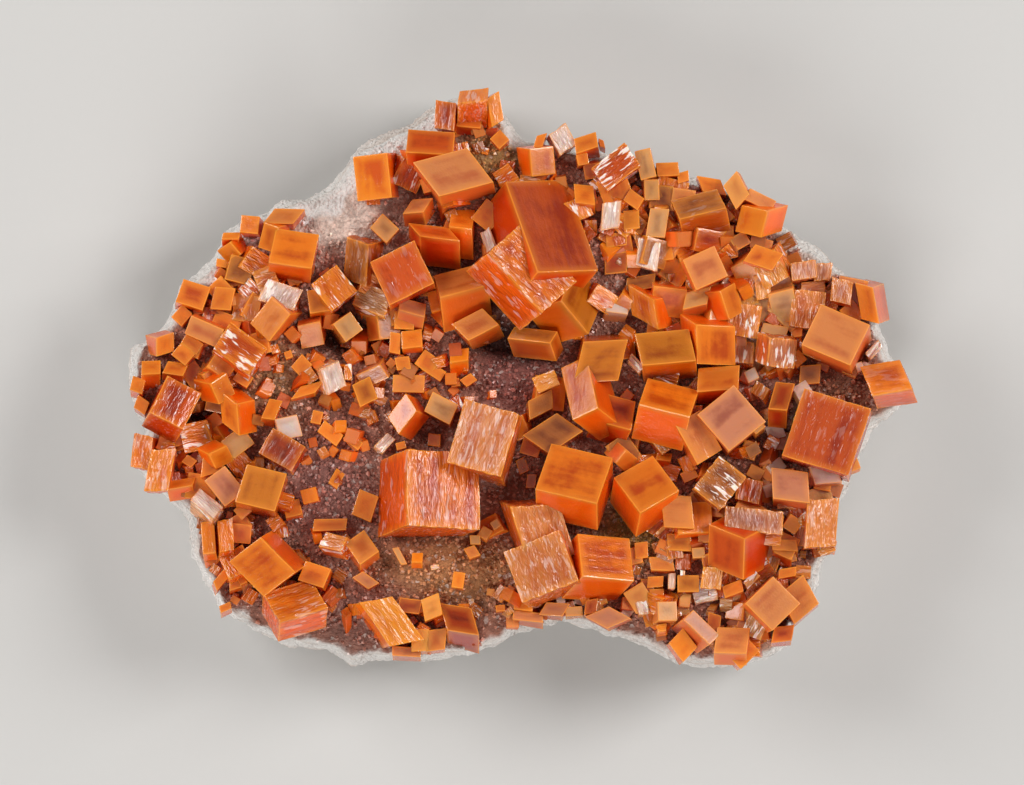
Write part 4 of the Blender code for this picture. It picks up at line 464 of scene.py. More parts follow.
CRUST: tuple[Crystal, ...] = (
    Crystal((-2.6, 28.9), 1.6, (-1.2, 1.3), (1.3, 1.2), (0, -0.4), 2.4, striae_along=2),
    Crystal((-16.7, 17.1), 1.8, (-2.1, 2), (1.6, 1.8), (0, -0.4), 2.6, Tone.TAN),
    Crystal((25.2, 15), 1.6, (2.2, 0.5), (-0.4, 2.2), (0, -0.3), 2.4, Tone.DARK, Habit.ROUGH),
    Crystal((18.6, 12.5), 1.4, (1.4, 0.5), (-0.3, 1.1), (0, -0.2), 1.8),
    Crystal((10.6, 13.2), 2.2, (2.8, 0.3), (0, 2.6), (0, -0.3), 2.8, Tone.DARK),
    Crystal((10.8, 16.6), 2, (2.6, 0.3), (0, 1.7), (0, -0.3), 2.6),
    Crystal((10.7, 8.6), 2.8, (2.8, -0.4), (0.4, 2.3), (-0.6, -1.5), 3, Tone.WHITE, Habit.FROSTED),
    Crystal((2.4, -1.6), 2.4, (2.7, 1.1), (-0.9, 1.8), (0.2, -0.3), 3, Tone.LIGHT, Habit.GLITTER),
    Crystal((1.2, -5), 2.6, (3, 1.5), (-0.2, 2.4), (-0.3, -0.6), 3, Tone.BROWN),
    Crystal((-32.8, 18.3), 2, (-2.3, 0.2), (0.2, 2.2), (0.4, -0.5), 2.8),
    Crystal((-36.3, 17.3), 1.4, (1.4, -1.6), (-1.7, -1.1), (0.9, 0.9), 2.6),
    Crystal((-37.4, 17.6), 1.2, (2.2, 0), (0.2, 0.9), (0, -0.6), 2),
    Crystal((-36.8, 14), 1.2, (-1.3, 0.3), (0.1, 1), (0, -0.2), 1.6),
    Crystal((-38.8, 8.9), 2.4, (2.6, -0.2), (0.6, 2.8), (0.2, -0.3), 3.2, striae_along=2),
    Crystal((-45.5, 2.9), 1.8, (2.2, 0.7), (0, 2.4), (-0.8, 0.2), 2.8, striae_along=2),
    Crystal((-45, 0.8), 2, (-2.4, -0.1), (0, 1.7), (-0.1, -1.4), 2.8),
    Crystal((-47.3, -1.8), 1.4, (-1.6, 0.6), (0.4, 1.8), (0, -0.5), 2.6, striae_along=2),
    Crystal((-47, -4.4), 1.4, (-1.4, 1), (0.6, 1.6), (0, -0.3), 2.6),
    Crystal((-41.2, -11), 1.6, (-1.2, 0.8), (0.8, 0.9), (0, -0.2), 1.8),
    Crystal((-29.3, -17.3), 1.8, (2.1, 0.5), (-0.5, 2), (0.1, -0.7), 2.5),
    Crystal((-22.9, -13.6), 1.6, (-1.1, 0.8), (1, 1.8), (-0.1, -0.5), 2, striae_along=2),
    Crystal((-26, -18.9), 1.8, (4.2, 0.1), (0.2, 1.5), (0, -0.3), 2.2),
    Crystal((-37.9, -26.4), 1.8, (1.5, 1.8), (-0.5, 1.2), (-0.2, -0.4), 2.6),
    Crystal((-35, -25.7), 2.2, (-1.2, 2.3), (0.9, 0.5), (0, -0.6), 2.5),
    Crystal((-36.4, -26.4), 1.8, (1.6, 0.5), (0, 1.2), (0, -0.4), 2.2),
    Crystal((-37.5, -29.2), 1.4, (1.4, 0.6), (-0.2, 0.9), (0, -0.3), 2),
    Crystal((-27.4, 0.3), 1.6, (-1.3, 1.4), (1.4, 1.6), (0, -0.2), 2.2, striae_along=2),
    Crystal((-28.7, -2.4), 1.8, (3, 0.8), (1.2, 1.6), (0.1, -0.6), 2.5),
    Crystal((-24.1, -1.9), 2.2, (2.4, 1.2), (-0.9, 3.2), (-1.1, 0.2), 3.2, Tone.WHITE, Habit.GLITTER, 2),
    Crystal((-21, 0.1), 1.6, (-1, -0.1), (-0.1, 1.9), (0, -0.1), 1.5, Tone.ORANGE, Habit.GLITTER, 2),
    Crystal((-17.5, 2), 2, (-3.1, -1.4), (1.1, -1.7), (0.5, 1), 3, Tone.MAUVE),
    Crystal((-21.8, 4.7), 3, (2.2, 1.6), (-1.6, 2.3), (-0.4, -0.1), 3, Tone.TAN, striae_along=2),
    Crystal((-20, -3.4), 2, (2.2, 1.1), (-1, 2.8), (-0.1, -0.5), 2.8, Tone.OCHRE, striae_along=2),
    Crystal((-15, 3.2), 1.8, (-1.4, 0.3), (0.1, 2.6), (0, -0.2), 2.2, striae_along=2),
    Crystal((-15.4, 1.2), 1.4, (1.8, 0.2), (-0.3, 1.6), (0, -0.2), 2),
    Crystal((-16, -1.5), 1.6, (4, -0.1), (0.1, 2.2), (0, -0.3), 2.4, Tone.PEACH),
    Crystal((-10, -0.2), 1.4, (-2.4, 1.6), (0.8, 1.2), (0, -0.2), 2),
    Crystal((-8.8, 2.2), 2.2, (2.3, 0.3), (0.1, 1.6), (0.1, -2), 3, Tone.VIVID),
    Crystal((-6.7, -0.9), 1.4, (1.4, 0.9), (-0.9, 0.9), (0, -0.2), 2),
    Crystal((-8.6, -0.9), 1.2, (1.2, 0.2), (-0.2, 1), (0, -0.3), 1.8),
    Crystal((-10, -8.4), 0.2, (-1.6, 0.2), (0.1, 1.6), (0, -0.2), 1.8),
    Crystal((-17.2, -9.2), 1.6, (1.7, 1.8), (-1.1, 0.9), (-0.1, -0.3), 2, Tone.WHITE, Habit.GLITTER),
    Crystal((-25, -5.6), 1.3, (-1.3, 0.3), (0.4, 1.6), (0, -0.2), 1.8, striae_along=2),
    Crystal((-23, -8.3), 1.5, (-2.4, 1.9), (0.9, 1.4), (0, -0.3), 2.2),
    Crystal((-20.3, -8.8), 1.5, (-1.9, 1.5), (0.7, 0.9), (0, -0.3), 2),
    Crystal((-18.7, -17.8), 1.6, (-2.4, 1), (1, 3.2), (0.2, -0.3), 2.6, striae_along=2),
    Crystal((-15.4, -8.8), 1.8, (1.2, 0.3), (-0.2, 0.9), (0, -0.2), 1.6),
    Crystal((27.2, 2.5), 1.8, (1.3, 0.6), (-0.2, 3.1), (0, -0.2), 1.8, Tone.PINK, striae_along=2),
    Crystal((29.6, 10), 1.8, (1.9, 0.4), (-0.2, 2.8), (0, -0.3), 2.4, Tone.LIGHT, Habit.FLUTED, 2),
    Crystal((27.4, 10.2), 1.6, (1.9, 0.5), (-0.2, 2.4), (0, -0.3), 2.4, Tone.RED, Habit.FLUTED, 2),
    Crystal((31, 8.8), 1.8, (3.5, 0.2), (0.1, 1.5), (0, -0.4), 2.4, Tone.PINK, Habit.FLUTED),
    Crystal((33.9, 5.3), 1.4, (1.4, 0.2), (0.2, 1.7), (0, -0.3), 1.8, striae_along=2),
    Crystal((28.6, -0.4), 2, (1.4, 0.7), (-0.6, 1.4), (0, -0.3), 2, Tone.WHITE),
    Crystal((43.8, 2.5), 3, (1.5, 1.6), (-0.6, 1), (0, -0.2), 2.2, Tone.WHITE, Habit.GLITTER),
    Crystal((34.9, -0.6), 2, (2.6, 0.2), (0.2, 2.4), (0, -0.3), 2.6, Tone.BROWN),
    Crystal((28.8, -9.9), 1.6, (1.5, 0.9), (-0.7, 1.4), (-0.1, -0.2), 2, Tone.TAN),
    Crystal((30.3, -12.8), 0.8, (0.8, 0), (-0.1, 1.3), (0, -0.2), 1.4, striae_along=2),
    Crystal((20.6, -12.9), 1.2, (1.8, 0.8), (-0.6, 1.2), (0, -0.3), 2),
    Crystal((17, -10), 1.6, (1.9, -0.2), (0.2, 1), (-0.3, -0.9), 2),
    Crystal((0.7, -13.5), 0.8, (1.2, 0), (0.2, 1.7), (0, -0.2), 1.8, Tone.BROWN, striae_along=2),
    Crystal((0, -11.9), 0.6, (1.2, 0.6), (-0.6, 1.8), (0, -0.3), 2, Tone.BROWN, striae_along=2),
    Crystal((14.4, -22.4), 1.8, (1.7, 0.2), (-0.1, 2), (0, -0.3), 2.4, striae_along=2),
    Crystal((16.4, -23.8), 2, (3, -0.1), (-0.3, 1.7), (0, -0.6), 2.6, Tone.PEACH),
    Crystal((18.1, -22.1), 1.6, (1.4, 0.2), (-0.2, 1.1), (0, -0.2), 1.8, Tone.TAN),
    Crystal((18.5, -21.3), 2.4, (3, -0.1), (-0.1, 2.1), (0, -0.5), 2.8, Tone.OCHRE),
    Crystal((21.6, -22.3), 2.8, (1.6, 0.1), (-0.1, 1.3), (0, -0.2), 2, Tone.TAN, Habit.FROSTED),
    Crystal((14.9, -29.5), 1.8, (1.4, 0.5), (-0.5, 1.6), (0, -0.3), 2, Tone.WHITE, Habit.GLITTER, 2),
    Crystal((18.5, -26.2), 2.6, (0.9, 0.1), (0.1, 2), (-0.1, -0.2), 2, Tone.WHITE, Habit.GLITTER, 2),
    Crystal((19.7, -26.5), 3, (2.7, 0), (0, 2.1), (0, -0.4), 2.8, Tone.OCHRE),
    Crystal((25.6, -27.3), 2.6, (2.4, 0.9), (-0.3, 1.5), (0.1, -0.5), 2.6),
    Crystal((31.6, -21.3), 2.4, (3.2, -0.1), (-0.2, 1.4), (0, -0.8), 2.6, Tone.PEACH),
    Crystal((32.3, -24.9), 3, (2.2, 0.4), (0.1, 1.2), (0, -0.3), 2.2, Tone.VIVID),
    Crystal((17.2, -31.6), 2.2, (1.2, 0.2), (-0.1, 1), (0, -0.4), 1.8, Tone.YELLOW, Habit.RIDGED),
    Crystal((-14.9, -23.1), 3, (0.8, 0.1), (-1.1, 2.1), (0, -0.2), 1.6, Tone.TAN, Habit.FROSTED, 2),
    Crystal((-13.6, -22.8), 3.2, (1.4, 0), (0.1, 1.2), (0, -0.9), 1.8, Tone.VIVID),
    Crystal((-8.6, -25.9), 3, (1.5, -0.2), (0.3, 2), (0, -0.3), 2, Tone.VIVID, striae_along=2),
    Crystal((-6.2, -20.6), 2.6, (1.3, 0), (-0.1, 1.2), (0, -0.2), 1.6, Tone.TAN),
    Crystal((-6.3, -22.4), 2.9, (1.4, 0.5), (-0.8, 1.3), (0, -0.3), 2, Tone.PEACH, striae_along=2),
    Crystal((-4.2, -20.1), 2.2, (0.8, 1.2), (-1.2, 0.7), (0, -0.3), 1.8, Tone.LIGHT, Habit.FROSTED),
    Crystal((-3, -29), 1.4, (1.2, 0.1), (-0.1, 0.8), (0, -0.2), 1.6),
    Crystal((10, 29.3), 1.4, (0.7, -0.3), (-0.2, 1), (0, -0.2), 1.6, striae_along=2),
    Crystal((-33.8, 4.6), 1.6, (0.7, 0.2), (-0.2, 0.7), (0, -0.1), 1.2, Tone.WHITE, Habit.GLITTER, 2),
    Crystal((-31, 3.2), 1.8, (1, 0.4), (-0.4, 1), (0, -0.2), 1.6, Tone.ORANGE, Habit.GLITTER, 2),
    Crystal((-29.3, 2.6), 1.4, (0.9, 0.3), (-0.3, 0.9), (0, -0.2), 1.6, striae_along=2),
    Crystal((33.6, 8.3), 1.4, (0.9, 0.4), (-0.4, 0.9), (0, -0.2), 1.4, striae_along=2),
    Crystal((30.4, -11), 1, (1, 0.1), (-0.1, 0.9), (0, -0.2), 1.4),
    # The tiny white blocks at (20, -24.4) and (-11.1, -23.8) are painted glints: white specks set where light
    # glints
    Crystal((20, -24.4), 3.2, (0.6, 0), (0, 0.6), (0, -0.1), 1.4, Tone.WHITE, Habit.GLITTER, 2),
    Crystal((33.9, -22.8), 1.8, (0.8, 0.2), (-0.2, 0.8), (0, -0.1), 1.4, Tone.TAN, striae_along=2),
    Crystal((-11.1, -23.8), 2.9, (1.1, 0.2), (-0.1, 0.5), (0, -0.1), 1.2, Tone.WHITE, Habit.GLITTER),
    Crystal((-3.2, -18.8), 1.8, (0.9, 0.6), (-0.6, 0.9), (0, -0.2), 1.6, Tone.TAN, striae_along=2),
    Crystal((-6.4, -28.3), 1.2, (0.7, 0.1), (-0.1, 0.7), (0, -0.1), 1.2, Tone.WHITE, Habit.GLITTER, 2),
)


def linear(hex_code: str) -> tuple[float, float, float, float]:
    """An sRGB hex colour as linear RGBA.

    Args:
        hex_code: the colour, such as "#DE6410".

    Returns:
        Red, green and blue in linear light, and full alpha.
    """
    channels = []
    for start in (1, 3, 5):
        part = int(hex_code[start:start + 2], 16) / 255.0
        channels.append(part / 12.92 if part <= 0.04045 else ((part + 0.055) / 1.055) ** 2.4)
    return (*channels, 1.0)


def outline_distance(places: np.ndarray) -> np.ndarray:
    """How far places lie inside the plate's outline.

    Args:
        places: N by 2 array of x and y in millimetres.

    Returns:
        N distances in millimetres, 0 for places outside.
    """
    starts = np.array(OUTLINE)
    along = np.roll(starts, -1, axis=0) - starts
    offset = places[:, None, :] - starts[None, :, :]
    share = np.clip((offset * along).sum(axis=2) / (along * along).sum(axis=1), 0.0, 1.0)
    nearest = np.linalg.norm(offset - along * share[:, :, None], axis=2).min(axis=1)
    ends = starts + along
    straddles = (starts[:, 1] > places[:, 1:2]) != (ends[:, 1] > places[:, 1:2])
    rise = np.where(along[:, 1] == 0.0, 1.0, along[:, 1])
    crossing = starts[:, 0] + offset[:, :, 1] / rise * along[:, 0]
    inside = np.count_nonzero(straddles & (places[:, 0:1] < crossing), axis=1) % 2 == 1
    return np.where(inside, nearest, 0.0)


def rock_heights(places: np.ndarray) -> np.ndarray:
    """Height of the rock surface over the flat underside.

    Args:
        places: N by 2 array of x and y in millimetres.

    Returns:
        N heights in millimetres.
    """
    heights = np.full(len(places), ROCK_LEVEL)
    for swell in SWELLS:
        reach = ((places[:, 0] - swell.x) / swell.reach_x) ** 2
        reach += ((places[:, 1] - swell.y) / swell.reach_y) ** 2
        heights += swell.height * np.exp(-reach)
    for lump_height, waves, place in (BROAD_LUMPS, FINE_LUMPS):
        lumps = [noise.noise(Vector((x * waves, y * waves, place))) for x, y in places]
        heights += lump_height * np.array(lumps)
    inward = np.minimum(outline_distance(places) / RIM_WIDTH, 1.0)
    return heights - RIM_DROP * (1.0 - inward) ** 2


def read_places(mesh: bpy.types.Mesh) -> np.ndarray:
    """The vertices of a mesh as an N by 3 array."""
    flat = np.empty(len(mesh.vertices) * 3, dtype=np.float32)
    mesh.vertices.foreach_get("co", flat)
    return flat.reshape(-1, 3).astype(np.float64)


def write_places(mesh: bpy.types.Mesh, places: np.ndarray) -> None:
    """Moves the vertices of a mesh to the places of an N by 3 array."""
    mesh.vertices.foreach_set("co", places.astype(np.float32).ravel())
    mesh.update()


def write_attribute(mesh: bpy.types.Mesh, name: str, kind: str, values: np.ndarray) -> None:
    """Stores one value for each vertex.

    Args:
        mesh: the mesh that gets the attribute.
        name: its name.
        kind: FLOAT, FLOAT_VECTOR or FLOAT_COLOR.
        values: an array with one row for each vertex.
    """
    attribute = mesh.attributes.new(name, kind, "POINT")
    field = {"FLOAT": "value", "FLOAT_VECTOR": "vector", "FLOAT_COLOR": "color"}[kind]
    attribute.data.foreach_set(field, values.astype(np.float32).ravel())


def deselect() -> None:
    """Leaves edit mode and deselects everything."""
    if bpy.context.object and bpy.context.object.mode != "OBJECT":
        bpy.ops.object.mode_set(mode="OBJECT")
    bpy.ops.object.select_all(action="DESELECT")


def select(pieces: list[bpy.types.Object]) -> None:
    """Selects these objects alone and makes the first one active."""
    deselect()
    for piece in pieces:
        piece.select_set(True)
    bpy.context.view_layer.objects.active = pieces[0]


def join(name: str, pieces: list[bpy.types.Object]) -> bpy.types.Object:
    """Joins objects into one under a new name."""
    select(pieces)
    if len(pieces) > 1:
        bpy.ops.object.join()
    joined = bpy.context.object
    joined.name = name
    joined.data.name = name
    return joined


def report(piece: bpy.types.Object, slot: str, *nodes: str) -> None:
    """Ties a finished piece to the frame and logs it.

    Args:
        piece: the piece.
        slot: a material slot's name, not used.
        nodes: the CAD nodes that it stands for.
    """
    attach(piece, "root")
    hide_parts(*nodes)
    log.info("%s: %d faces", piece.name, len(piece.data.polygons))


def finish_crystals(name: str, grown: list[bpy.types.Object], finish: bpy.types.Material, node: str) -> None:
    """Joins grown crystals into one finished piece.

    Args:
        name: the piece's name.
        grown: the crystals.
        finish: their material.
        node: the CAD node that they stand for.
    """
    piece = join(name, grown)
    piece.data.materials.clear()
    piece.data.materials.append(finish)
    bpy.ops.object.shade_smooth_by_angle(angle=FACET_ANGLE)
    report(piece, "wulfenite", node)


class NodeSheet:
    """A material's node tree, with one call that adds a node, its settings and its links."""

    def __init__(self, name: str) -> None:
        """Starts an empty material of this name."""
        self.material = bpy.data.materials.new(name)
        self.material.use_nodes = True
        self.tree = self.material.node_tree
        self.tree.nodes.clear()

    def add(
        self, kind: str, settings: dict[str, object], take: int | str, **inputs: object
    ) -> bpy.types.NodeSocket | None:
        """Adds a node.

        Args:
            kind: the node's type after "ShaderNode", such as TexNoise.
            settings: its properties.
            take: the output that is wanted, by name or place.
            inputs: values for its inputs, or outputs of other nodes to link to them. A name stands for the
                input with underscores for spaces, and i0, i1 and so on stand for the input at that place.

        Returns:
            The output that is wanted, or nothing for the node that ends the tree.
        """
        node = self.tree.nodes.new("ShaderNode" + kind)
        for name, value in settings.items():
            setattr(node, name, value)
        for name, value in inputs.items():
            is_place = name[0] == "i" and name[1:].isdigit()
            socket = node.inputs[int(name[1:])] if is_place else node.inputs[name.replace("_", " ")]
            if isinstance(value, bpy.types.NodeSocket):
                self.tree.links.new(value, socket)
            else:
                socket.default_value = value
        return node.outputs[take] if len(node.outputs) else None


# Settings of nodes that the finishes share, the place of the colour that a Mix node gives, and metres to mm.
# Such a Mix node takes the share at i0 and its two colours at i6 and i7.
EASED = {"interpolation_type": "SMOOTHSTEP"}
COLOUR_MIX = {"data_type": "RGBA"}
COLOUR_TIMES = {"data_type": "RGBA", "blend_type": "MULTIPLY"}
TIMES = {"operation": "MULTIPLY"}
PLUS = {"operation": "ADD"}
TIMES_PLUS = {"operation": "MULTIPLY_ADD"}
MIXED = 2
TO_MM = (1000.0, 1000.0, 1000.0)


@dataclass
class WulfeniteFinish:
    """Natural crystal faces of lead molybdate: adamantine gloss, light that glows through the edges by
    subsurface scattering, and painted light in the colour: a painted glow at the edges and sides, painted
    shade towards the root and painted glints.
    """

    ior: float = 2.28
    sheen: float = 0.20
    gloss: float = 0.16
    frosted: float = 0.42
    glow: float = 0.25
    glow_reach: tuple[float, float, float] = (1.0, 0.34, 0.07)
    glow_scale: float = 0.0012
    bump_height: float = 0.0005
    painted_rim_light: str = "#F49A34"
    painted_glint: str = "#FFF0E6"
    veils_per_mm: tuple[float, float, float] = (0.55, 0.07, 0.16)
    cloud_mm: float = 3.0
    striae_per_mm: float = 4.2
    striae_stretch: tuple[float, float, float] = (1.0, 0.09, 0.3)
    striae_strength: float = 0.42
    ridges_per_mm: float = 2.2
    ridges_stretch: tuple[float, float, float] = (1.0, 0.22, 0.6)
    painted_glint_strength: float = 0.85
    pits_per_mm: float = 4.0

    def __post_init__(self) -> None:
        """Starts the sheet and reads the crystals' own attributes."""
        self.sheet = NodeSheet("wulfenite")
        add = self.sheet.add
        self.place = add("Attribute", {"attribute_name": "place"}, "Vector")
        self.face, self.deep, self.side = (
            add("Attribute", {"attribute_name": name}, "Color")
            for name in ("face_tone", "deep_tone", "side_tone")
        )
        self.rim, self.sunk = (add("Attribute", {"attribute_name": name}, "Fac") for name in ("rim", "sunk"))
        habit = add("Attribute", {"attribute_name": "habit"}, "Vector")
        # The habit's second value is the share of painted glints
        self.frost = add("SeparateXYZ", {}, 0, i0=habit)
        self.glitter, self.striae = self.frost.node.outputs[1], self.frost.node.outputs[2]

    def veiled(self) -> bpy.types.NodeSocket:
        """Dark red veils run lengthwise through the middle of each face, and the borders stay clear."""
        add = self.sheet.add
        wide = add("Mapping", {}, 0, Vector=self.place, Scale=self.veils_per_mm)
        bands = add("TexNoise", {}, 0, Vector=wide, Scale=1.0, Detail=2.0)
        fineness = 1.0 / self.cloud_mm
        clouds = add("TexNoise", {}, 0, Vector=self.place, Scale=fineness, Detail=4.0, Roughness=0.65)
        veils = add("Math", TIMES_PLUS, 0, i0=bands, i1=0.6, i2=add("Math", TIMES, 0, i0=clouds, i1=0.4))
        veil = add("MapRange", EASED, 0, Value=veils, From_Min=0.43, From_Max=0.62)
        rim = self.rim
        inner = add("MapRange", EASED, 0, Value=rim, From_Min=0.15, From_Max=1.3, To_Min=0.25, To_Max=0.85)
        share = add("Math", TIMES, 0, i0=veil, i1=inner)
        return add("Mix", COLOUR_MIX, MIXED, i0=share, i6=self.face, i7=self.deep)

    def paint_side_glow_and_root_shade(self, body: bpy.types.NodeSocket) -> bpy.types.NodeSocket:
        """Painted light: the sides get a painted glow in a purer orange than the body, and painted shade
        deepens them towards the root.
        """
        add = self.sheet.add
        side = add("MapRange", EASED, 0, Value=self.sunk, From_Min=0.0, From_Max=0.8, To_Min=0.0, To_Max=0.85)
        # Painted shade: the deep colour darkens the sides towards the root
        root = add("MapRange", EASED, 0, Value=self.sunk, From_Min=1.8, From_Max=6.0, To_Min=0.0, To_Max=0.55)
        painted_side_glow = add("Mix", COLOUR_MIX, MIXED, i0=side, i6=body, i7=self.side)
        return add("Mix", COLOUR_MIX, MIXED, i0=root, i6=painted_side_glow, i7=self.deep)

    def paint_edge_glow(self, body: bpy.types.NodeSocket) -> bpy.types.NodeSocket:
        """Painted light at the edges: a soft painted glow and a thin painted bright line, as if light came
        out of the body there.
        """
        add = self.sheet.add
        soft = add("MapRange", EASED, 0, Value=self.rim, From_Min=0.0, From_Max=1.1, To_Min=0.28, To_Max=0.0)
        line = add("MapRange", EASED, 0, Value=self.rim, From_Min=0.06, From_Max=0.2, To_Min=0.4, To_Max=0.0)
        share = add("Math", PLUS, 0, i0=soft, i1=line)
        return add("Mix", COLOUR_MIX, MIXED, i0=share, i6=body, i7=linear(self.painted_rim_light))

    def lined(self, body: bpy.types.NodeSocket) -> bpy.types.NodeSocket:
        """Fine dark striae run lengthwise over the body."""
        add = self.sheet.add
        scale = tuple(self.striae_per_mm * stretch for stretch in self.striae_stretch)
        fine = add("Mapping", {}, 0, Vector=self.place, Scale=scale)
        fibres = add("TexNoise", {}, 0, Vector=fine, Scale=1.0, Detail=3.0, Roughness=0.6)
        dark = add("MapRange", EASED, 0, Value=fibres, From_Min=0.46, From_Max=0.66)
        strength = add("Math", TIMES, 0, i0=self.striae, i1=self.striae_strength)
        share = add("Math", TIMES, 0, i0=dark, i1=strength)
        return add("Mix", COLOUR_MIX, MIXED, i0=share, i6=body, i7=self.deep)

    def ridges(self) -> bpy.types.NodeSocket:
        """Ridges coarser than the striae, for the relief and the painted glints."""
        scale = tuple(self.ridges_per_mm * stretch for stretch in self.ridges_stretch)
        add = self.sheet.add
        long = add("Mapping", {}, 0, Vector=self.place, Scale=scale)
        return add("TexNoise", {}, 0, Vector=long, Scale=1.0, Detail=2.0, Roughness=0.55, Distortion=0.4)

    def paint_glints(self, body: bpy.types.NodeSocket, ridges: bpy.types.NodeSocket) -> bpy.types.NodeSocket:
        """Painted highlights: clusters of pale painted glints along the ridges of the body."""
        add = self.sheet.add
        where = add("TexNoise", {}, 0, Vector=self.place, Scale=0.45, Detail=1.0)
        clustered = add("Math", PLUS, 0, i0=ridges, i1=add("Math", TIMES, 0, i0=where, i1=0.5))
        bright = add("MapRange", EASED, 0, Value=clustered, From_Min=0.825, From_Max=0.92)
        painted_sparks = add("Math", TIMES, 0, i0=bright, i1=self.glitter)
        share = add("Math", TIMES, 0, i0=painted_sparks, i1=self.painted_glint_strength)
        return add("Mix", COLOUR_MIX, MIXED, i0=share, i6=body, i7=linear(self.painted_glint))

    def build(self) -> bpy.types.Material:
        """The material."""
        add = self.sheet.add
        ridges = self.ridges()
        colour = self.paint_glints(self.lined(self.paint_edge_glow(self.paint_side_glow_and_root_shade(self.veiled()))), ridges)
        frost_gain = self.frosted - self.gloss
        roughness = add("Math", TIMES_PLUS, 0, i0=self.frost, i1=frost_gain, i2=self.gloss)
        pits = add("TexNoise", {}, 0, Vector=self.place, Scale=self.pits_per_mm, Detail=3.0)
        relief = add("Math", TIMES, 0, i0=ridges, i1=self.striae)
        height = add("Math", TIMES_PLUS, 0, i0=pits, i1=0.08, i2=relief)
        bump = add("Bump", {}, 0, Strength=1.0, Distance=self.bump_height, Height=height)
        shader = add(
            "BsdfPrincipled",
            {},
            0,
            Base_Color=colour,
            Roughness=roughness,
            IOR=self.ior,
            Specular_IOR_Level=self.sheen,
            Subsurface_Weight=self.glow,
            Subsurface_Radius=self.glow_reach,
            Subsurface_Scale=self.glow_scale,
            Normal=bump,
        )
        add("OutputMaterial", {}, 0, Surface=shader)
        return self.sheet.material


@dataclass(frozen=True)
class StoneFinish:
    """Broken limestone, chalk-white and matt where it is bare, under a skin of brown and mauve druse."""

    grain_per_mm: float = 2.2
    painted_sparkle: str = "#F2E4DA"
    hollow: str = "#5E4640"
    stain: str = "#C9A184"

    def build(self) -> bpy.types.Material:
        """The material, which reads the rock's tint and, as its alpha, how bare the stone is."""
        sheet = NodeSheet("limestone_and_druse")
        add = sheet.add
        place = add("TexCoord", {}, "Object")
        where = add("Mapping", {}, 0, Vector=place, Scale=TO_MM)
        tint = add("Attribute", {"attribute_name": "tint"}, "Color")
        grains = add("TexVoronoi", {}, "Distance", Vector=where, Scale=self.grain_per_mm)
        bare = tint.node.outputs["Alpha"]
        mottle = add("TexNoise", {}, 0, Vector=where, Scale=0.9, Detail=5.0, Roughness=0.75)
        shade = add("MapRange", EASED, 0, Value=mottle, From_Min=0.38, From_Max=0.62)
        dark = add("Mix", COLOUR_MIX, MIXED, i0=shade, i6=linear(self.hollow), i7=(1.0, 1.0, 1.0, 1.0))
        depth = add("MapRange", {}, 0, Value=bare, From_Min=0.0, From_Max=1.0, To_Min=0.45, To_Max=0.1)
        skin = add("Mix", COLOUR_TIMES, MIXED, i0=depth, i6=tint, i7=dark)
        beds = add("Mapping", {}, 0, Vector=where, Scale=(0.05, 0.05, 0.55))
        stain = add("TexNoise", {}, 0, Vector=beds, Scale=1.0, Detail=5.0, Roughness=0.6)
        rusty = add("MapRange", EASED, 0, Value=stain, From_Min=0.45, From_Max=0.68)
        rust_share = add("Math", TIMES, 0, i0=rusty, i1=add("Math", TIMES, 0, i0=bare, i1=0.38))
        body = add("Mix", COLOUR_MIX, MIXED, i0=rust_share, i6=skin, i7=linear(self.stain))
        # Painted highlight: a few grains get a pale painted fleck of colour, and they are made glossier too
        chance = add("SeparateColor", {}, 0, i0=grains.node.outputs["Color"])
        painted_sparkle = add("MapRange", EASED, 0, Value=chance, From_Min=0.93, From_Max=0.96)
        share = add("Math", TIMES, 0, i0=painted_sparkle, i1=0.4)
        colour = add("Mix", COLOUR_MIX, MIXED, i0=share, i6=body, i7=linear(self.painted_sparkle))
        roughness = add("Math", TIMES_PLUS, 0, i0=painted_sparkle, i1=-0.55, i2=0.85)
        rubble = add("TexNoise", {}, 0, Vector=where, Scale=3.0, Detail=3.0, Roughness=0.7)
        height = add("Math", PLUS, 0, i0=grains, i1=rubble)
        bump = add("Bump", {}, 0, Strength=1.0, Distance=0.0004, Height=height)
        shader = add("BsdfPrincipled", {}, 0, Base_Color=colour, Roughness=roughness, Normal=bump)
        add("OutputMaterial", {}, 0, Surface=shader)
        return sheet.material


@dataclass(frozen=True)
class DruseFinish:
    """Glassy grains of druse, whose brown to mauve comes from the rock under them, with pale tips."""

    gloss: float = 0.3
    ior: float = 1.6
    tip: str = "#FFE9DC"

    def build(self) -> bpy.types.Material:
        """The material, which reads each grain's tint."""
        sheet = NodeSheet("druse_grains")
        add = sheet.add
        place = add("TexCoord", {}, "Object")
        where = add("Mapping", {}, 0, Vector=place, Scale=TO_MM)
        tint = add("Attribute", {"attribute_name": "tint"}, "Color")
        cloud = add("TexNoise", {}, 0, Vector=where, Scale=2.5, Detail=3.0)
        share = add("MapRange", EASED, 0, Value=cloud, From_Min=0.5, From_Max=0.75, To_Min=0.0, To_Max=0.35)
        colour = add("Mix", COLOUR_MIX, MIXED, i0=share, i6=tint, i7=linear(self.tip))
        shader = add("BsdfPrincipled", {}, 0, Base_Color=colour, Roughness=self.gloss, IOR=self.ior)
        add("OutputMaterial", {}, 0, Surface=shader)
        return sheet.material


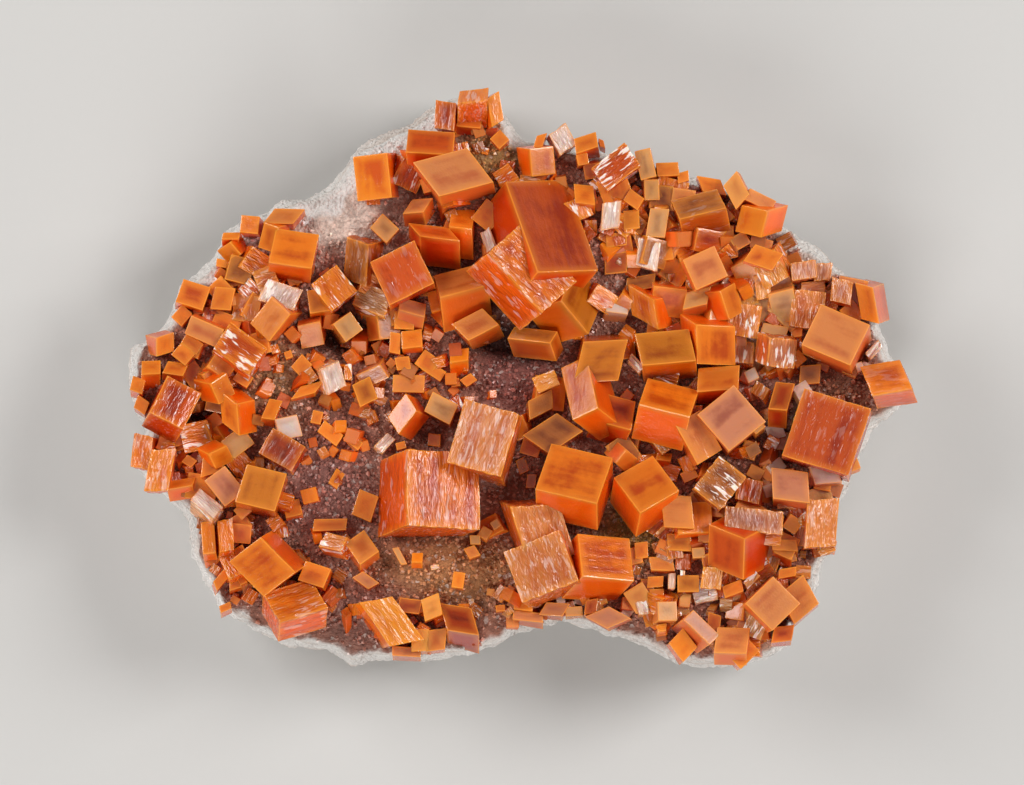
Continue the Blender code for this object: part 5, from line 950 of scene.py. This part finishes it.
@dataclass(frozen=True)
class PaleFloor:
    """Matt seamless studio paper."""

    colour: str = "#C4C2BF"
    tooth: str = "#A8A6A2"

    def build(self) -> bpy.types.Material:
        """The floor's material."""
        sheet = NodeSheet("studio_paper")
        add = sheet.add
        place = add("TexCoord", {}, "Object")
        fibres = add("TexNoise", {}, 0, Vector=place, Scale=900.0, Detail=3.0)
        share = add("Math", TIMES, 0, i0=fibres, i1=0.05)
        shade = add("Mix", COLOUR_MIX, MIXED, i0=share, i6=linear(self.colour), i7=linear(self.tooth))
        shader = add("BsdfPrincipled", {}, 0, Base_Color=shade, Roughness=0.9)
        add("OutputMaterial", {}, 0, Surface=shader)
        return sheet.material


class BlockMould:
    """Cubes with a grid on each face and narrow bevelled edges, modelled once for each fineness."""

    BEVEL_SHARE = 0.3
    ON_FACE = 1e-4

    def __init__(self) -> None:
        """Starts with no mould made."""
        self.moulds: dict[int, bpy.types.Object] = {}

    def bevel(self, cells: int) -> float:
        """Width of the bevelled edge on the cube from -1 to 1."""
        return self.BEVEL_SHARE * 2.0 / cells

    def mould(self, cells: int) -> bpy.types.Object:
        """The cube with this many cells along each edge.

        Args:
            cells: number of cells along an edge.

        Returns:
            The cube's object, which is copied and never shown.
        """
        if cells not in self.moulds:
            deselect()
            bpy.ops.mesh.primitive_cube_add(size=2.0)
            cube = bpy.context.object
            bpy.ops.object.mode_set(mode="EDIT")
            if cells > 1:
                bpy.ops.mesh.subdivide(number_cuts=cells - 1)
            bpy.ops.mesh.select_all(action="DESELECT")
            bpy.ops.object.mode_set(mode="OBJECT")
            for edge in cube.data.edges:
                ends = [cube.data.vertices[i].co for i in edge.vertices]
                faces = [k for k in range(3) if all(abs(abs(end[k]) - 1.0) < self.ON_FACE for end in ends)]
                flats = [k for k in faces if ends[0][k] * ends[1][k] > 0.0]
                edge.select = len(flats) == 2
            bpy.ops.object.mode_set(mode="EDIT")
            bpy.ops.mesh.select_mode(type="EDGE")
            segments = 2 if cells > 1 else 1
            bpy.ops.mesh.bevel(offset=self.bevel(cells), segments=segments, profile=0.6, clamp_overlap=True)
            bpy.ops.mesh.select_all(action="SELECT")
            bpy.ops.mesh.normals_make_consistent(inside=False)
            deselect()
            self.moulds[cells] = cube
        return self.moulds[cells]

    def cast(self, name: str, cells: int) -> bpy.types.Object:
        """A copy of the cube with a mesh of its own."""
        cube = self.mould(cells).copy()
        cube.data = cube.data.copy()
        cube.name = name
        bpy.context.collection.objects.link(cube)
        return cube

    def clear(self) -> None:
        """Removes the moulds once all casts are made."""
        for cube in self.moulds.values():
            bpy.data.objects.remove(cube)
        self.moulds.clear()


@dataclass
class SeatedBlock:
    """A crystal with its edges in space and its third edge run on until it is rooted in the rock."""

    crystal: Crystal
    seed: int

    def __post_init__(self) -> None:
        """Works out the edges from the square corners of a tetragonal crystal."""
        crystal = self.crystal
        first = Vector((*crystal.first, 0.0))
        second = Vector((*crystal.second, 0.0))
        third = Vector((*crystal.third, 0.0))
        fall = -math.sqrt(crystal.depth ** 2 - third.length_squared)
        first.z = -first.dot(third) / fall
        second.z = -second.dot(third) / fall
        third.z = fall
        self.corner = Vector((*crystal.corner, ROCK_LEVEL + crystal.lift))
        self.first, self.second, self.third = first, second, third
        self.roots = self.root_lengths()

    def root_lengths(self) -> np.ndarray:
        """How many times its own length the third edge runs from each corner of the front face."""
        most = 1.0 if self.third.xy.length > SEEN_EDGE else LONGEST_ROOT
        roots = []
        for along_second in (0, 1):
            for along_first in (0, 1):
                start = self.corner + self.first * along_first + self.second * along_second
                stretch = 0.0
                for _ in range(ROOT_STEPS):
                    end = start + self.third * stretch
                    ground = float(rock_heights(np.array([[end.x, end.y]]))[0])
                    over = end.z - (ground - BURIED)
                    if over <= 0.0:
                        break
                    stretch += over / -self.third.z
                roots.append(min(max(stretch, SHORTEST_ROOT), most))
        return np.array(roots).reshape(2, 2)

    def half_sizes(self) -> np.ndarray:
        """Half the block's real size along its three edges, in millimetres."""
        return np.array((self.first.length, self.second.length, self.third.length * self.roots.mean())) / 2.0

    def to_space(self, shares: np.ndarray) -> np.ndarray:
        """Places in space from shares along the three edges.

        Args:
            shares: N by 3 array, 0 to 1 along each edge from the corner.

        Returns:
            N by 3 array of places in millimetres.
        """
        u, v, w = shares.T
        near = self.roots[0, 0] * (1 - u) + self.roots[0, 1] * u
        far = self.roots[1, 0] * (1 - u) + self.roots[1, 1] * u
        run = w * (near * (1 - v) + far * v)
        edges = np.array([list(self.first), list(self.second), list(self.third)])
        return np.array(self.corner) + np.stack((u, v, run), axis=1) @ edges


@dataclass
class CrystalGrower:
    """Makes crystals: a cast of the block mould, brought to size and given the relief of its habit."""

    mould: BlockMould
    cell_mm: float = 0.30
    cell_steps: tuple[int, ...] = (1, 3, 5, 8, 11, 15, 20, 26, 34)
    edge_mm: float = 0.09
    edge_share: float = 0.12
    wave_mm: float = 0.10
    waves_per_mm: float = 0.33
    step_waves_per_mm: float = 0.21
    ridge_mm: float = 0.16
    ridges_per_mm: tuple[float, float, float] = (1.35, 0.16, 0.5)
    terraces: float = 3.0
    terrace_shift: float = 1.7
    plain_rim_mm: float = 0.6
    relief_steps: tuple[float, float, float] = (3.17, 1.31, 7.7)
    place_steps: tuple[float, float, float] = (5.3, 2.9, 1.7)
    tone_step: float = 2.4
    tone_play: float = 0.10
    # Gain of the painted glow on the sides over the face colour
    painted_side_glow_gain: tuple[float, float, float, float] = (1.3, 0.66, 0.22, 1.0)

    def cells_for(self, size: float) -> int:
        """How many cells the longest edge of a block is divided into."""
        wanted = size / self.cell_mm
        return next((step for step in self.cell_steps if step >= wanted), self.cell_steps[-1])

    def relief(self, places: np.ndarray, habit: Habit, seed: int, axis: int) -> np.ndarray:
        """How far a face stands out at some places on it.

        Args:
            places: N by 3 array in the crystal's own frame, x across the striae and y along them.
            habit: the habit, which sets the strength of striae and waves.
            seed: number that tells the crystals apart.
            axis: the face's own axis, so that faces of one crystal differ.

        Returns:
            N heights in millimetres.
        """
        _, _, striae, uneven = habit.value
        step_x, step_y, step_axis = self.relief_steps
        shift = Vector((seed * step_x, seed * step_y, axis * step_axis))
        heights = np.empty(len(places))
        for i, place in enumerate(places):
            spot = Vector(place)
            wave = noise.noise(spot * self.waves_per_mm + shift)
            ridge = noise.noise(spot * Vector(self.ridges_per_mm) + shift)
            climb = noise.noise(spot * self.step_waves_per_mm + shift * self.terrace_shift)
            step = math.floor(self.terraces * climb) / self.terraces
            heights[i] = self.wave_mm * uneven * (wave + step) + self.ridge_mm * striae * ridge
        return heights

    def grow(self, name: str, block: SeatedBlock) -> bpy.types.Object:
        """One crystal in its place.

        Args:
            name: the object's name.
            block: the seated block that it fills.

        Returns:
            The object, in metres, with the attributes that its finish reads.
        """
        crystal = block.crystal
        half = block.half_sizes()
        cells = self.cells_for(2.0 * half.max())
        cast = self.mould.cast(name, cells)
        raw = read_places(cast.data)
        bevel = self.mould.bevel(cells)
        size = np.abs(raw)
        edge = min(self.edge_mm, self.edge_share * 2.0 * half.min())
        flat = size / (1.0 - bevel) * (half - edge)
        rounded = half - edge + (size - (1.0 - bevel)) / bevel * edge
        local = np.sign(raw) * np.where(size <= 1.0 - bevel, flat, rounded)
        on_face = np.clip((size - (1.0 - bevel)) / bevel, 0.0, 1.0)
        frame_order = (0, 1, 2) if crystal.striae_along == 2 else (1, 0, 2)
        own = local[:, frame_order]
        moved = local.copy()
        if cells > 1:
            for axis in range(3):
                touched = on_face[:, axis] > 0.0
                heights = self.relief(own[touched], crystal.habit, block.seed, axis)
                moved[touched, axis] += np.sign(raw[touched, axis]) * heights * on_face[touched, axis]
        shares = moved / (2.0 * half) + 0.5
        write_places(cast.data, block.to_space(shares) * MM)
        self.store(cast.data, block, own, half[list(frame_order)], cells)
        return cast

    def store(
        self, mesh: bpy.types.Mesh, block: SeatedBlock, own: np.ndarray, half: np.ndarray, cells: int
    ) -> None:
        """Stores the attributes that the crystal's finish reads.

        Args:
            mesh: the crystal's mesh.
            block: the seated block that it fills.
            own: N by 3 array of its places in its own frame, before the relief.
            half: half its sizes in that frame.
            cells: how many cells its edges have.
        """
        crystal = block.crystal
        count = len(own)
        shift = block.seed * np.array(self.place_steps)
        gaps = np.sort(half - np.abs(own), axis=1)
        rim = np.maximum(gaps[:, 1], 0.0) if cells > 1 else np.full(count, self.plain_rim_mm)
        face, deep = (np.array(linear(code)) for code in crystal.tone.value)
        vary = 1.0 + self.tone_play * math.sin(block.seed * self.tone_step)
        write_attribute(mesh, "place", "FLOAT_VECTOR", own + shift)
        write_attribute(mesh, "rim", "FLOAT", rim)
        write_attribute(mesh, "sunk", "FLOAT", own[:, 2] + half[2])
        tones = {
            "face_tone": face * (vary, vary, vary, 1.0),
            "deep_tone": deep,
            # A painted glow: the sides get a purer, brighter orange than the face
            "side_tone": np.minimum(face * self.painted_side_glow_gain, 1.0),
        }
        for name, tone in tones.items():
            write_attribute(mesh, name, "FLOAT_COLOR", np.tile(tone, (count, 1)))
        write_attribute(mesh, "habit", "FLOAT_VECTOR", np.tile(crystal.habit.value[:3], (count, 1)))


@dataclass
class Clump:
    """Crystals that have grown into one another, which stand for one node of the model."""

    node: str
    crystals: tuple[Crystal, ...]
    first_seed: int

    def build(self, grower: CrystalGrower, finish: bpy.types.Material) -> None:
        """Grows the crystals and joins them into one piece.

        Args:
            grower: grows them.
            finish: their material.
        """
        grown = []
        for number, crystal in enumerate(self.crystals):
            block = SeatedBlock(crystal, self.first_seed + number)
            grown.append(grower.grow(f"{self.node}_{number}", block))
        finish_crystals(f"{self.node}_crystals", grown, finish, self.node)


@dataclass(frozen=True)
class Patch:
    """A soft-edged patch of colour on the rock: stains and bare stone, and in the caves painted shade."""

    x: float
    y: float
    reach_x: float
    reach_y: float
    colour: str


COLOUR_AND_SHADE_PATCHES: tuple[Patch, ...] = (
    Patch(-23.5, 21.5, 8.0, 6.5, "#F2D8C8"),
    Patch(-13.5, 30.5, 3.4, 3.4, "#F0DCD0"),
    Patch(37.0, 15.5, 5.0, 4.5, "#E6C6B4"),
    Patch(-3.5, 28.0, 4.0, 4.0, "#B88C54"),
    Patch(14.0, -19.5, 4.5, 4.0, "#B08444"),
    Patch(-31.5, 1.0, 5.0, 5.5, "#B07C54"),
    Patch(-24.0, -14.5, 6.0, 7.0, "#A46C60"),
    Patch(0.0, 1.0, 6.0, 6.0, "#94584E"),
    Patch(-9.0, -24.0, 10.0, 5.0, "#BC7E4E"),
    Patch(-19.0, -30.0, 7.0, 5.0, "#A87464"),
    Patch(40.0, -3.0, 4.5, 4.0, "#A06C50"),
    Patch(31.0, -34.0, 4.5, 2.4, "#E0AC90"),
    # The last three patches are painted shade: dark colour laid in the caves that the swells above hollow out
    Patch(-39.8, -6.4, 3.0, 3.4, "#5A3A2E"),
    Patch(-21.5, 5.4, 4.6, 2.8, "#6E4A3C"),
    Patch(-1.5, 5.0, 4.4, 2.2, "#5C3A34"),
)


@dataclass
class StonePlate:
    """The limestone plate with its broken edge and its skin of druse."""

    voxel_mm: float = 0.5
    grain_mm: float = 0.16
    lump_mm: float = 0.34
    broken_mm: float = 0.5
    broken_waves_per_mm: float = 0.45
    chip_mm: float = 0.32
    chips_per_mm: float = 1.5
    broken_depth_mm: float = 3.0
    foot_mm: float = 1.5
    lumps_per_mm: float = 0.55
    lump_middle: float = 0.4
    grains_per_mm: float = 1.6
    rim_mm: float = 1.3
    upper_left_rim_mm: float = 3.2
    upper_left_of: tuple[float, float] = (-8.0, 12.0)
    ragged_mm: float = 0.9
    ragged_waves_per_mm: float = 0.5
    fade_mm: float = 0.5
    patch_strength: float = 1.6
    patch_falloff: float = 1.3
    chalk_below: float = 0.78
    druse: str = "#AC7460"
    chalk: str = "#FAF4EE"

    def prism(self) -> bpy.types.Object:
        """The outline drawn up through the levels of the broken wall, in millimetres."""
        deselect()
        bpy.ops.mesh.primitive_circle_add(vertices=len(OUTLINE), radius=1.0, fill_type="NGON")
        plate = bpy.context.object
        base = WALL_RINGS[0]
        for vertex, (x, y) in zip(plate.data.vertices, OUTLINE):
            vertex.co = (x * base.scale, y * base.scale, 0.0)
        bpy.ops.object.mode_set(mode="EDIT")
        bpy.ops.mesh.select_all(action="SELECT")
        level, scale = 0.0, base.scale
        for ring in WALL_RINGS[1:]:
            height = min(ring.height, ROCK_LEVEL)
            rise = {"value": (0.0, 0.0, height - level)}
            bpy.ops.mesh.extrude_region_move(TRANSFORM_OT_translate=rise)
            ratio = ring.scale / scale
            bpy.ops.transform.resize(value=(ratio, ratio, 1.0), center_override=(0.0, 0.0, 0.0))
            level, scale = height, ring.scale
        bpy.ops.mesh.select_all(action="SELECT")
        bpy.ops.mesh.normals_make_consistent(inside=False)
        deselect()
        return plate

    def build(self, finish: bpy.types.Material) -> None:
        """Remeshes the prism finely and shapes its top, its edge and its grain.

        Args:
            finish: the stone's material.
        """
        plate = self.prism()
        remesh = plate.modifiers.new("Even cells", "REMESH")
        remesh.mode = "VOXEL"
        remesh.voxel_size = self.voxel_mm
        select([plate])
        bpy.ops.object.modifier_apply(modifier=remesh.name)
        places = read_places(plate.data)
        inward = outline_distance(places[:, :2])
        high = np.clip(places[:, 2] / ROCK_LEVEL, 0.0, 1.0)
        rough = np.array([self.grain(Vector(place)) for place in places])
        stir = self.stir(places, self.broken_waves_per_mm) * self.broken_mm
        chips = self.stir(places, self.chips_per_mm) * self.chip_mm
        side = np.clip(1.0 - inward / self.broken_depth_mm, 0.0, 1.0)
        side *= np.clip(places[:, 2] / self.foot_mm, 0.0, 1.0)
        shaped = places + (stir + chips) * side[:, None]
        top = rock_heights(places[:, :2]) + rough
        shaped[:, 2] = places[:, 2] + high ** 3 * (top - ROCK_LEVEL)
        shaped[:, 2] = np.maximum(shaped[:, 2], 0.0)
        write_places(plate.data, shaped * MM)
        write_attribute(plate.data, "tint", "FLOAT_COLOR", self.tints(places, inward))
        plate.name = "limestone_plate"
        plate.data.materials.append(finish)
        bpy.ops.object.shade_smooth_by_angle(angle=STONE_ANGLE)
        report(plate, "limestone", "limestone_matrix")

    def stir(self, places: np.ndarray, waves_per_mm: float) -> np.ndarray:
        """How noise of this fineness pushes each place about, as an N by 3 array."""
        return np.array([list(noise.noise_vector(Vector(place) * waves_per_mm)) for place in places])

    def grain(self, place: Vector) -> float:
        """Height of the druse's lumps and grains at a place, in millimetres."""
        lump = noise.turbulence(place * self.lumps_per_mm, 2, False)
        grain = noise.cell(place * self.grains_per_mm)
        return self.lump_mm * (lump - self.lump_middle) + self.grain_mm * grain

    def tints(self, places: np.ndarray, inward: np.ndarray) -> np.ndarray:
        """The rock's colour at each place: druse on top with its patches, among them painted shade in the
        caves, chalk at the rim and down the side.

        Args:
            places: N by 3 array of places in millimetres.
            inward: how far they lie inside the outline.

        Returns:
            N linear colours, with the share of bare stone as their alpha.
        """
        colours = np.tile(linear(self.druse), (len(places), 1))
        for patch in COLOUR_AND_SHADE_PATCHES:
            reach = ((places[:, 0] - patch.x) / patch.reach_x) ** 2
            reach += ((places[:, 1] - patch.y) / patch.reach_y) ** 2
            share = self.patch_strength * np.exp(-reach * self.patch_falloff)
            share = np.clip(share, 0.0, 1.0)[:, None]
            colours = colours * (1.0 - share) + np.array(linear(patch.colour)) * share
        waves = self.ragged_waves_per_mm
        ragged = np.array([noise.noise(Vector((x * waves, y * waves, 2.0))) for x, y, _ in places])
        upper_left = (places[:, 0] < self.upper_left_of[0]) & (places[:, 1] > self.upper_left_of[1])
        width = np.where(upper_left, self.upper_left_rim_mm, self.rim_mm) + self.ragged_mm * ragged
        bare = np.clip((width - inward) / self.fade_mm + 0.5, 0.0, 1.0)
        side = np.clip((ROCK_LEVEL * self.chalk_below - places[:, 2]) / self.foot_mm, 0.0, 1.0)
        bare = np.maximum(bare, side)[:, None]
        colours = colours * (1.0 - bare) + np.array(linear(self.chalk)) * bare
        colours[:, 3] = bare[:, 0]
        return colours


@dataclass
class DruseGrains:
    """Tapered grains that stand all over the druse, copied from one mould."""

    count: int = 14500
    grain_mm: float = 0.27
    seed: int = 11
    bare_corner: tuple[float, float] = (-22.0, 23.0)
    bare_reach: tuple[float, float] = (9.0, 7.0)
    bare_play: tuple[float, float] = (0.4, 1.3)
    rim_play_mm: tuple[float, float] = (1.0, 2.4)
    tilt_play: tuple[float, float] = (-0.9, 0.9)
    size_play: tuple[float, float] = (0.6, 1.7)
    lift_play: tuple[float, float] = (-0.1, 0.4)
    tint_play: tuple[float, float] = (0.6, 1.5)
    taper: tuple[float, float, float] = (0.45, 0.6, 1.0)
    lean: tuple[float, float, float] = (0.12, -0.06, 0.0)

    def mould(self) -> bpy.types.Object:
        """A leaning, tapered grain one unit across."""
        deselect()
        bpy.ops.mesh.primitive_cube_add(size=1.0)
        grain = bpy.context.object
        bpy.ops.object.mode_set(mode="EDIT")
        bpy.ops.mesh.select_all(action="DESELECT")
        bpy.ops.object.mode_set(mode="OBJECT")
        for face in grain.data.polygons:
            face.select = face.normal.z > 0.5
        bpy.ops.object.mode_set(mode="EDIT")
        bpy.ops.transform.resize(value=self.taper)
        bpy.ops.transform.translate(value=self.lean)
        bpy.ops.mesh.select_all(action="SELECT")
        bpy.ops.mesh.normals_make_consistent(inside=False)
        deselect()
        return grain

    def build(self, plate: StonePlate, finish: bpy.types.Material) -> None:
        """Strews the grains over the rock as one piece.

        Args:
            plate: the rock that they stand on.
            finish: their material.
        """
        draw = np.random.default_rng(self.seed)
        low, high = np.array(OUTLINE).min(axis=0), np.array(OUTLINE).max(axis=0)
        spots = draw.uniform(low, high, (self.count * 2, 2))
        inward = outline_distance(spots)
        from_corner = np.linalg.norm((spots - self.bare_corner) / self.bare_reach, axis=1)
        is_bare = from_corner < draw.uniform(*self.bare_play, len(spots))
        is_inside = inward > draw.uniform(*self.rim_play_mm, len(spots))
        spots = spots[is_inside & ~is_bare][: self.count]
        heights = rock_heights(spots)
        grain = self.mould()
        corners = read_places(grain.data)
        faces = np.array([list(face.vertices) for face in grain.data.polygons])
        bpy.data.objects.remove(grain)
        places = np.empty((len(spots), len(corners), 3))
        for number, (spot, height) in enumerate(zip(spots, heights)):
            tilt = draw.uniform(*self.tilt_play, 2).tolist()
            turn = Euler((*tilt, draw.uniform(0.0, math.tau))).to_matrix()
            size = self.grain_mm * draw.uniform(*self.size_play)
            lift = plate.grain(Vector((*spot, ROCK_LEVEL))) + size * draw.uniform(*self.lift_play)
            places[number] = corners @ np.array(turn).T * size + (*spot, height + lift)
        steps = np.arange(len(spots))[:, None, None] * len(corners)
        mesh = bpy.data.meshes.new("druse_grains")
        quads = (faces[None] + steps).reshape(-1, 4)
        mesh.from_pydata((places.reshape(-1, 3) * MM).tolist(), [], quads.tolist())
        tint = plate.tints(np.column_stack((spots, heights)), outline_distance(spots))
        tint[:, :3] *= draw.uniform(*self.tint_play, (len(spots), 1))
        write_attribute(mesh, "tint", "FLOAT_COLOR", np.repeat(np.clip(tint, 0.0, 1.0), len(corners), axis=0))
        mesh.materials.append(finish)
        piece = bpy.data.objects.new("druse_grains", mesh)
        bpy.context.collection.objects.link(piece)
        report(piece, "limestone", "limestone_matrix")


@dataclass(frozen=True)
class Zone:
    """A stretch of the rock where tiny crystals crowd: its middle, its reach, their number and size."""

    x: float
    y: float
    reach_x: float
    reach_y: float
    count: int
    size: float
    tones: tuple[Tone, ...]


WARM = (Tone.ORANGE, Tone.RED, Tone.VIVID, Tone.PEACH, Tone.ORANGE, Tone.BROWN)
PALE = (Tone.PINK, Tone.PEACH, Tone.TAN, Tone.LIGHT, Tone.ORANGE, Tone.WHITE)

ZONES: tuple[Zone, ...] = (
    Zone(22.0, 21.0, 11.0, 5.0, 26, 2.8, WARM),
    Zone(34.0, 9.0, 8.0, 7.0, 26, 2.8, PALE),
    Zone(22.0, 8.0, 9.0, 6.0, 16, 2.8, WARM),
    Zone(27.0, -20.0, 11.0, 9.0, 34, 2.9, WARM),
    Zone(36.0, -14.0, 5.0, 8.0, 14, 2.6, PALE),
    Zone(12.0, -10.0, 12.0, 8.0, 14, 2.6, WARM),
    Zone(-5.0, 22.0, 8.0, 8.0, 12, 2.4, WARM),
    Zone(-36.0, 7.0, 8.0, 8.0, 22, 2.5, WARM),
    Zone(-38.0, -12.0, 6.0, 9.0, 18, 2.5, WARM),
    Zone(-15.0, 8.0, 8.0, 5.0, 12, 2.2, WARM),
    Zone(26.0, -31.0, 8.0, 3.6, 14, 2.4, PALE),
    Zone(22.0, 20.0, 12.0, 6.0, 90, 1.5, WARM),
    Zone(36.0, 8.0, 8.0, 7.0, 80, 1.5, PALE),
    Zone(24.0, 6.0, 12.0, 8.0, 60, 1.4, WARM),
    Zone(26.0, -22.0, 12.0, 9.0, 120, 1.5, WARM),
    Zone(36.0, -16.0, 6.0, 9.0, 50, 1.4, PALE),
    Zone(12.0, 22.0, 8.0, 6.0, 50, 1.3, WARM),
    Zone(-8.0, 27.0, 8.0, 7.0, 40, 1.3, WARM),
    Zone(-35.0, 8.0, 9.0, 9.0, 70, 1.4, WARM),
    Zone(-38.0, -12.0, 8.0, 10.0, 70, 1.4, WARM),
    Zone(-19.0, 1.0, 10.0, 8.0, 90, 1.2, WARM),
    Zone(-31.0, -26.0, 8.0, 6.0, 50, 1.3, WARM),
    Zone(-12.0, -31.0, 9.0, 3.5, 40, 1.2, WARM),
    Zone(4.0, -28.0, 9.0, 3.5, 30, 1.2, PALE),
    Zone(28.0, -31.0, 8.0, 4.0, 50, 1.3, PALE),
)


@dataclass
class Crust:
    """The small crystals that cover the rock between the big ones."""

    seed: int = 7
    placed_seed: int = 400
    strewn_seed: int = 700
    spread: float = 0.6
    filler_mm: float = 2.0
    off_rim_mm: float = 2.2
    off_rim_sizes: float = 1.2
    rim_zone_mm: float = 6.0
    rim_lean: float = 0.3
    size_play: tuple[float, float] = (0.6, 1.5)
    long_play: tuple[float, float] = (0.8, 1.2)
    least_lift: float = 0.25
    depth_share: float = 1.3
    habits: tuple[Habit, ...] = (
        Habit.SMOOTH, Habit.SMOOTH, Habit.FROSTED, Habit.RIDGED, Habit.GLITTER,
    )

    def scatter(self) -> list[Crystal]:
        """Tiny crystals thrown into the zones, the same ones each time."""
        draw = random.Random(self.seed)
        thrown = []
        for zone in ZONES:
            left = zone.count
            while left:
                x = draw.gauss(zone.x, zone.reach_x * self.spread)
                y = draw.gauss(zone.y, zone.reach_y * self.spread)
                place = np.array([[x, y]])
                inward = outline_distance(place)[0]
                if inward < max(self.off_rim_mm, self.off_rim_sizes * zone.size):
                    continue
                left -= 1
                lean_share = self.rim_lean if inward < self.rim_zone_mm else 1.0
                thrown.append(self.tiny(draw, x, y, zone, float(rock_heights(place)[0]), lean_share))
        return thrown

    def tiny(
        self, draw: random.Random, x: float, y: float, zone: Zone, ground: float, lean_share: float
    ) -> Crystal:
        """One tiny crystal with a chance turn, tilt and tone.

        Args:
            draw: where the chances come from.
            x: its place.
            y: its place.
            zone: the zone that it was thrown into.
            ground: height of the rock there.
            lean_share: how far its lean is held back, from 0 to 1.

        Returns:
            The crystal.
        """
        most = 0.9 if zone.size < self.filler_mm else 0.6
        size = zone.size * draw.uniform(*self.size_play)
        turn = draw.uniform(0.0, math.tau)
        long = size * draw.uniform(*self.long_play)
        first = (math.cos(turn) * size, math.sin(turn) * size)
        second = (-math.sin(turn) * long, math.cos(turn) * long)
        lean = draw.uniform(0.0, most) * size * lean_share
        way = draw.uniform(0.0, math.tau)
        third = (math.cos(way) * lean, math.sin(way) * lean)
        lift = ground - ROCK_LEVEL + size * draw.uniform(self.least_lift, most)
        habit = draw.choice(self.habits)
        tone = draw.choice(zone.tones)
        return Crystal((x, y), lift, first, second, third, size * self.depth_share, tone, habit, 2)

    def build(self, grower: CrystalGrower, finish: bpy.types.Material) -> None:
        """Grows the placed crystals of the crust as one piece and the strewn ones as another.

        Args:
            grower: grows the placed crystals.
            finish: the material of all of them.
        """
        placed = []
        for number, crystal in enumerate(CRUST):
            placed.append(grower.grow(f"crust_{number}", SeatedBlock(crystal, self.placed_seed + number)))
        finish_crystals("crust_crystals", placed, finish, "limestone_matrix")
        middling = CrystalGrower(grower.mould, cell_mm=0.9)
        plain = CrystalGrower(grower.mould, cell_mm=9.0, edge_mm=0.05)
        strewn = []
        for number, crystal in enumerate(self.scatter()):
            use = middling if math.hypot(*crystal.first) > self.filler_mm else plain
            strewn.append(use.grow(f"tiny_{number}", SeatedBlock(crystal, self.strewn_seed + number)))
        finish_crystals("strewn_crystals", strewn, finish, "limestone_matrix")


@dataclass(frozen=True)
class Softbox:
    """A square lamp: its name, place in metres, width in metres and power in watts."""

    name: str
    place: tuple[float, float, float]
    width: float
    watts: float


# A wide dim softbox overhead, a key from the right, and fills from the left and the front
SOFTBOXES: tuple[Softbox, ...] = (
    Softbox("overhead", (0.05, 0.10, 1.30), 0.90, 0.5),
    Softbox("key", (0.66, 0.22, 0.55), 0.34, 5.4),
    Softbox("left_fill", (-0.62, 0.34, 0.50), 0.50, 5.0),
    Softbox("front_fill", (-0.1, -0.75, 0.50), 0.50, 4.6),
)


@dataclass
class Studio:
    """Pale paper, soft lights and the camera over the specimen."""

    camera_height: float = 1.5
    plane_mm: float = 18.0
    view_width_mm: float = 128.0
    centre_mm: tuple[float, float] = (-1.0, -1.56)
    lit_place: tuple[float, float, float] = (0.0, 0.0, 0.02)
    sky: tuple[float, float, float, float] = (1.0, 0.98, 0.95, 1.0)
    sky_strength: float = 0.16
    sensor_mm: float = 36.0
    paper_size: float = 6.0
    paper_below: float = 0.0002

    def floor(self) -> None:
        """A sheet of pale paper under the specimen."""
        deselect()
        bpy.ops.mesh.primitive_plane_add(size=self.paper_size, location=(0.0, 0.0, -self.paper_below))
        floor = bpy.context.object
        floor.name = "paper"
        floor.data.materials.append(PaleFloor().build())

    def light(self, softbox: Softbox) -> None:
        """Hangs a softbox so that it faces the specimen."""
        data = bpy.data.lights.new(softbox.name, "AREA")
        data.shape = "SQUARE"
        data.size = softbox.width
        data.energy = softbox.watts
        lamp = bpy.data.objects.new(softbox.name, data)
        lamp.location = softbox.place
        towards = Vector(self.lit_place) - Vector(softbox.place)
        lamp.rotation_euler = towards.to_track_quat("-Z", "Y").to_euler()
        bpy.context.collection.objects.link(lamp)

    def world(self) -> None:
        """A faint even light from all around, and plain colours in the picture."""
        world = bpy.data.worlds.new("studio")
        world.use_nodes = True
        background = world.node_tree.nodes["Background"]
        background.inputs["Color"].default_value = self.sky
        background.inputs["Strength"].default_value = self.sky_strength
        bpy.context.scene.world = world
        bpy.context.scene.view_settings.view_transform = "Standard"

    def camera(self) -> None:
        """A long lens straight over the specimen, with the photo's frame."""
        data = bpy.data.cameras.new("camera")
        data.sensor_width = self.sensor_mm
        distance = self.camera_height - self.plane_mm * MM
        data.lens = data.sensor_width * distance / (self.view_width_mm * MM)
        camera = bpy.data.objects.new("camera", data)
        camera.location = (self.centre_mm[0] * MM, self.centre_mm[1] * MM, self.camera_height)
        bpy.context.collection.objects.link(camera)
        bpy.context.scene.camera = camera

    def build(self) -> None:
        """Sets the stage."""
        self.floor()
        for softbox in SOFTBOXES:
            self.light(softbox)
        self.world()
        self.camera()


def main() -> None:
    """Sets the studio up, then builds the specimen in it piece by piece."""
    logging.basicConfig(level=logging.INFO, format="%(name)s: %(message)s")
    noise.seed_set(NOISE_SEED)
    Studio().build()
    mould = BlockMould()
    grower = CrystalGrower(mould)
    wulfenite = WulfeniteFinish().build()
    plate = StonePlate()
    plate.build(StoneFinish().build())
    DruseGrains().build(plate, DruseFinish().build())
    seed = 0
    for node, crystals in CLUMPS.items():
        Clump(node, crystals, seed).build(grower, wulfenite)
        seed += len(crystals)
    Crust().build(grower, wulfenite)
    mould.clear()


if __name__ == "__main__":
    main()
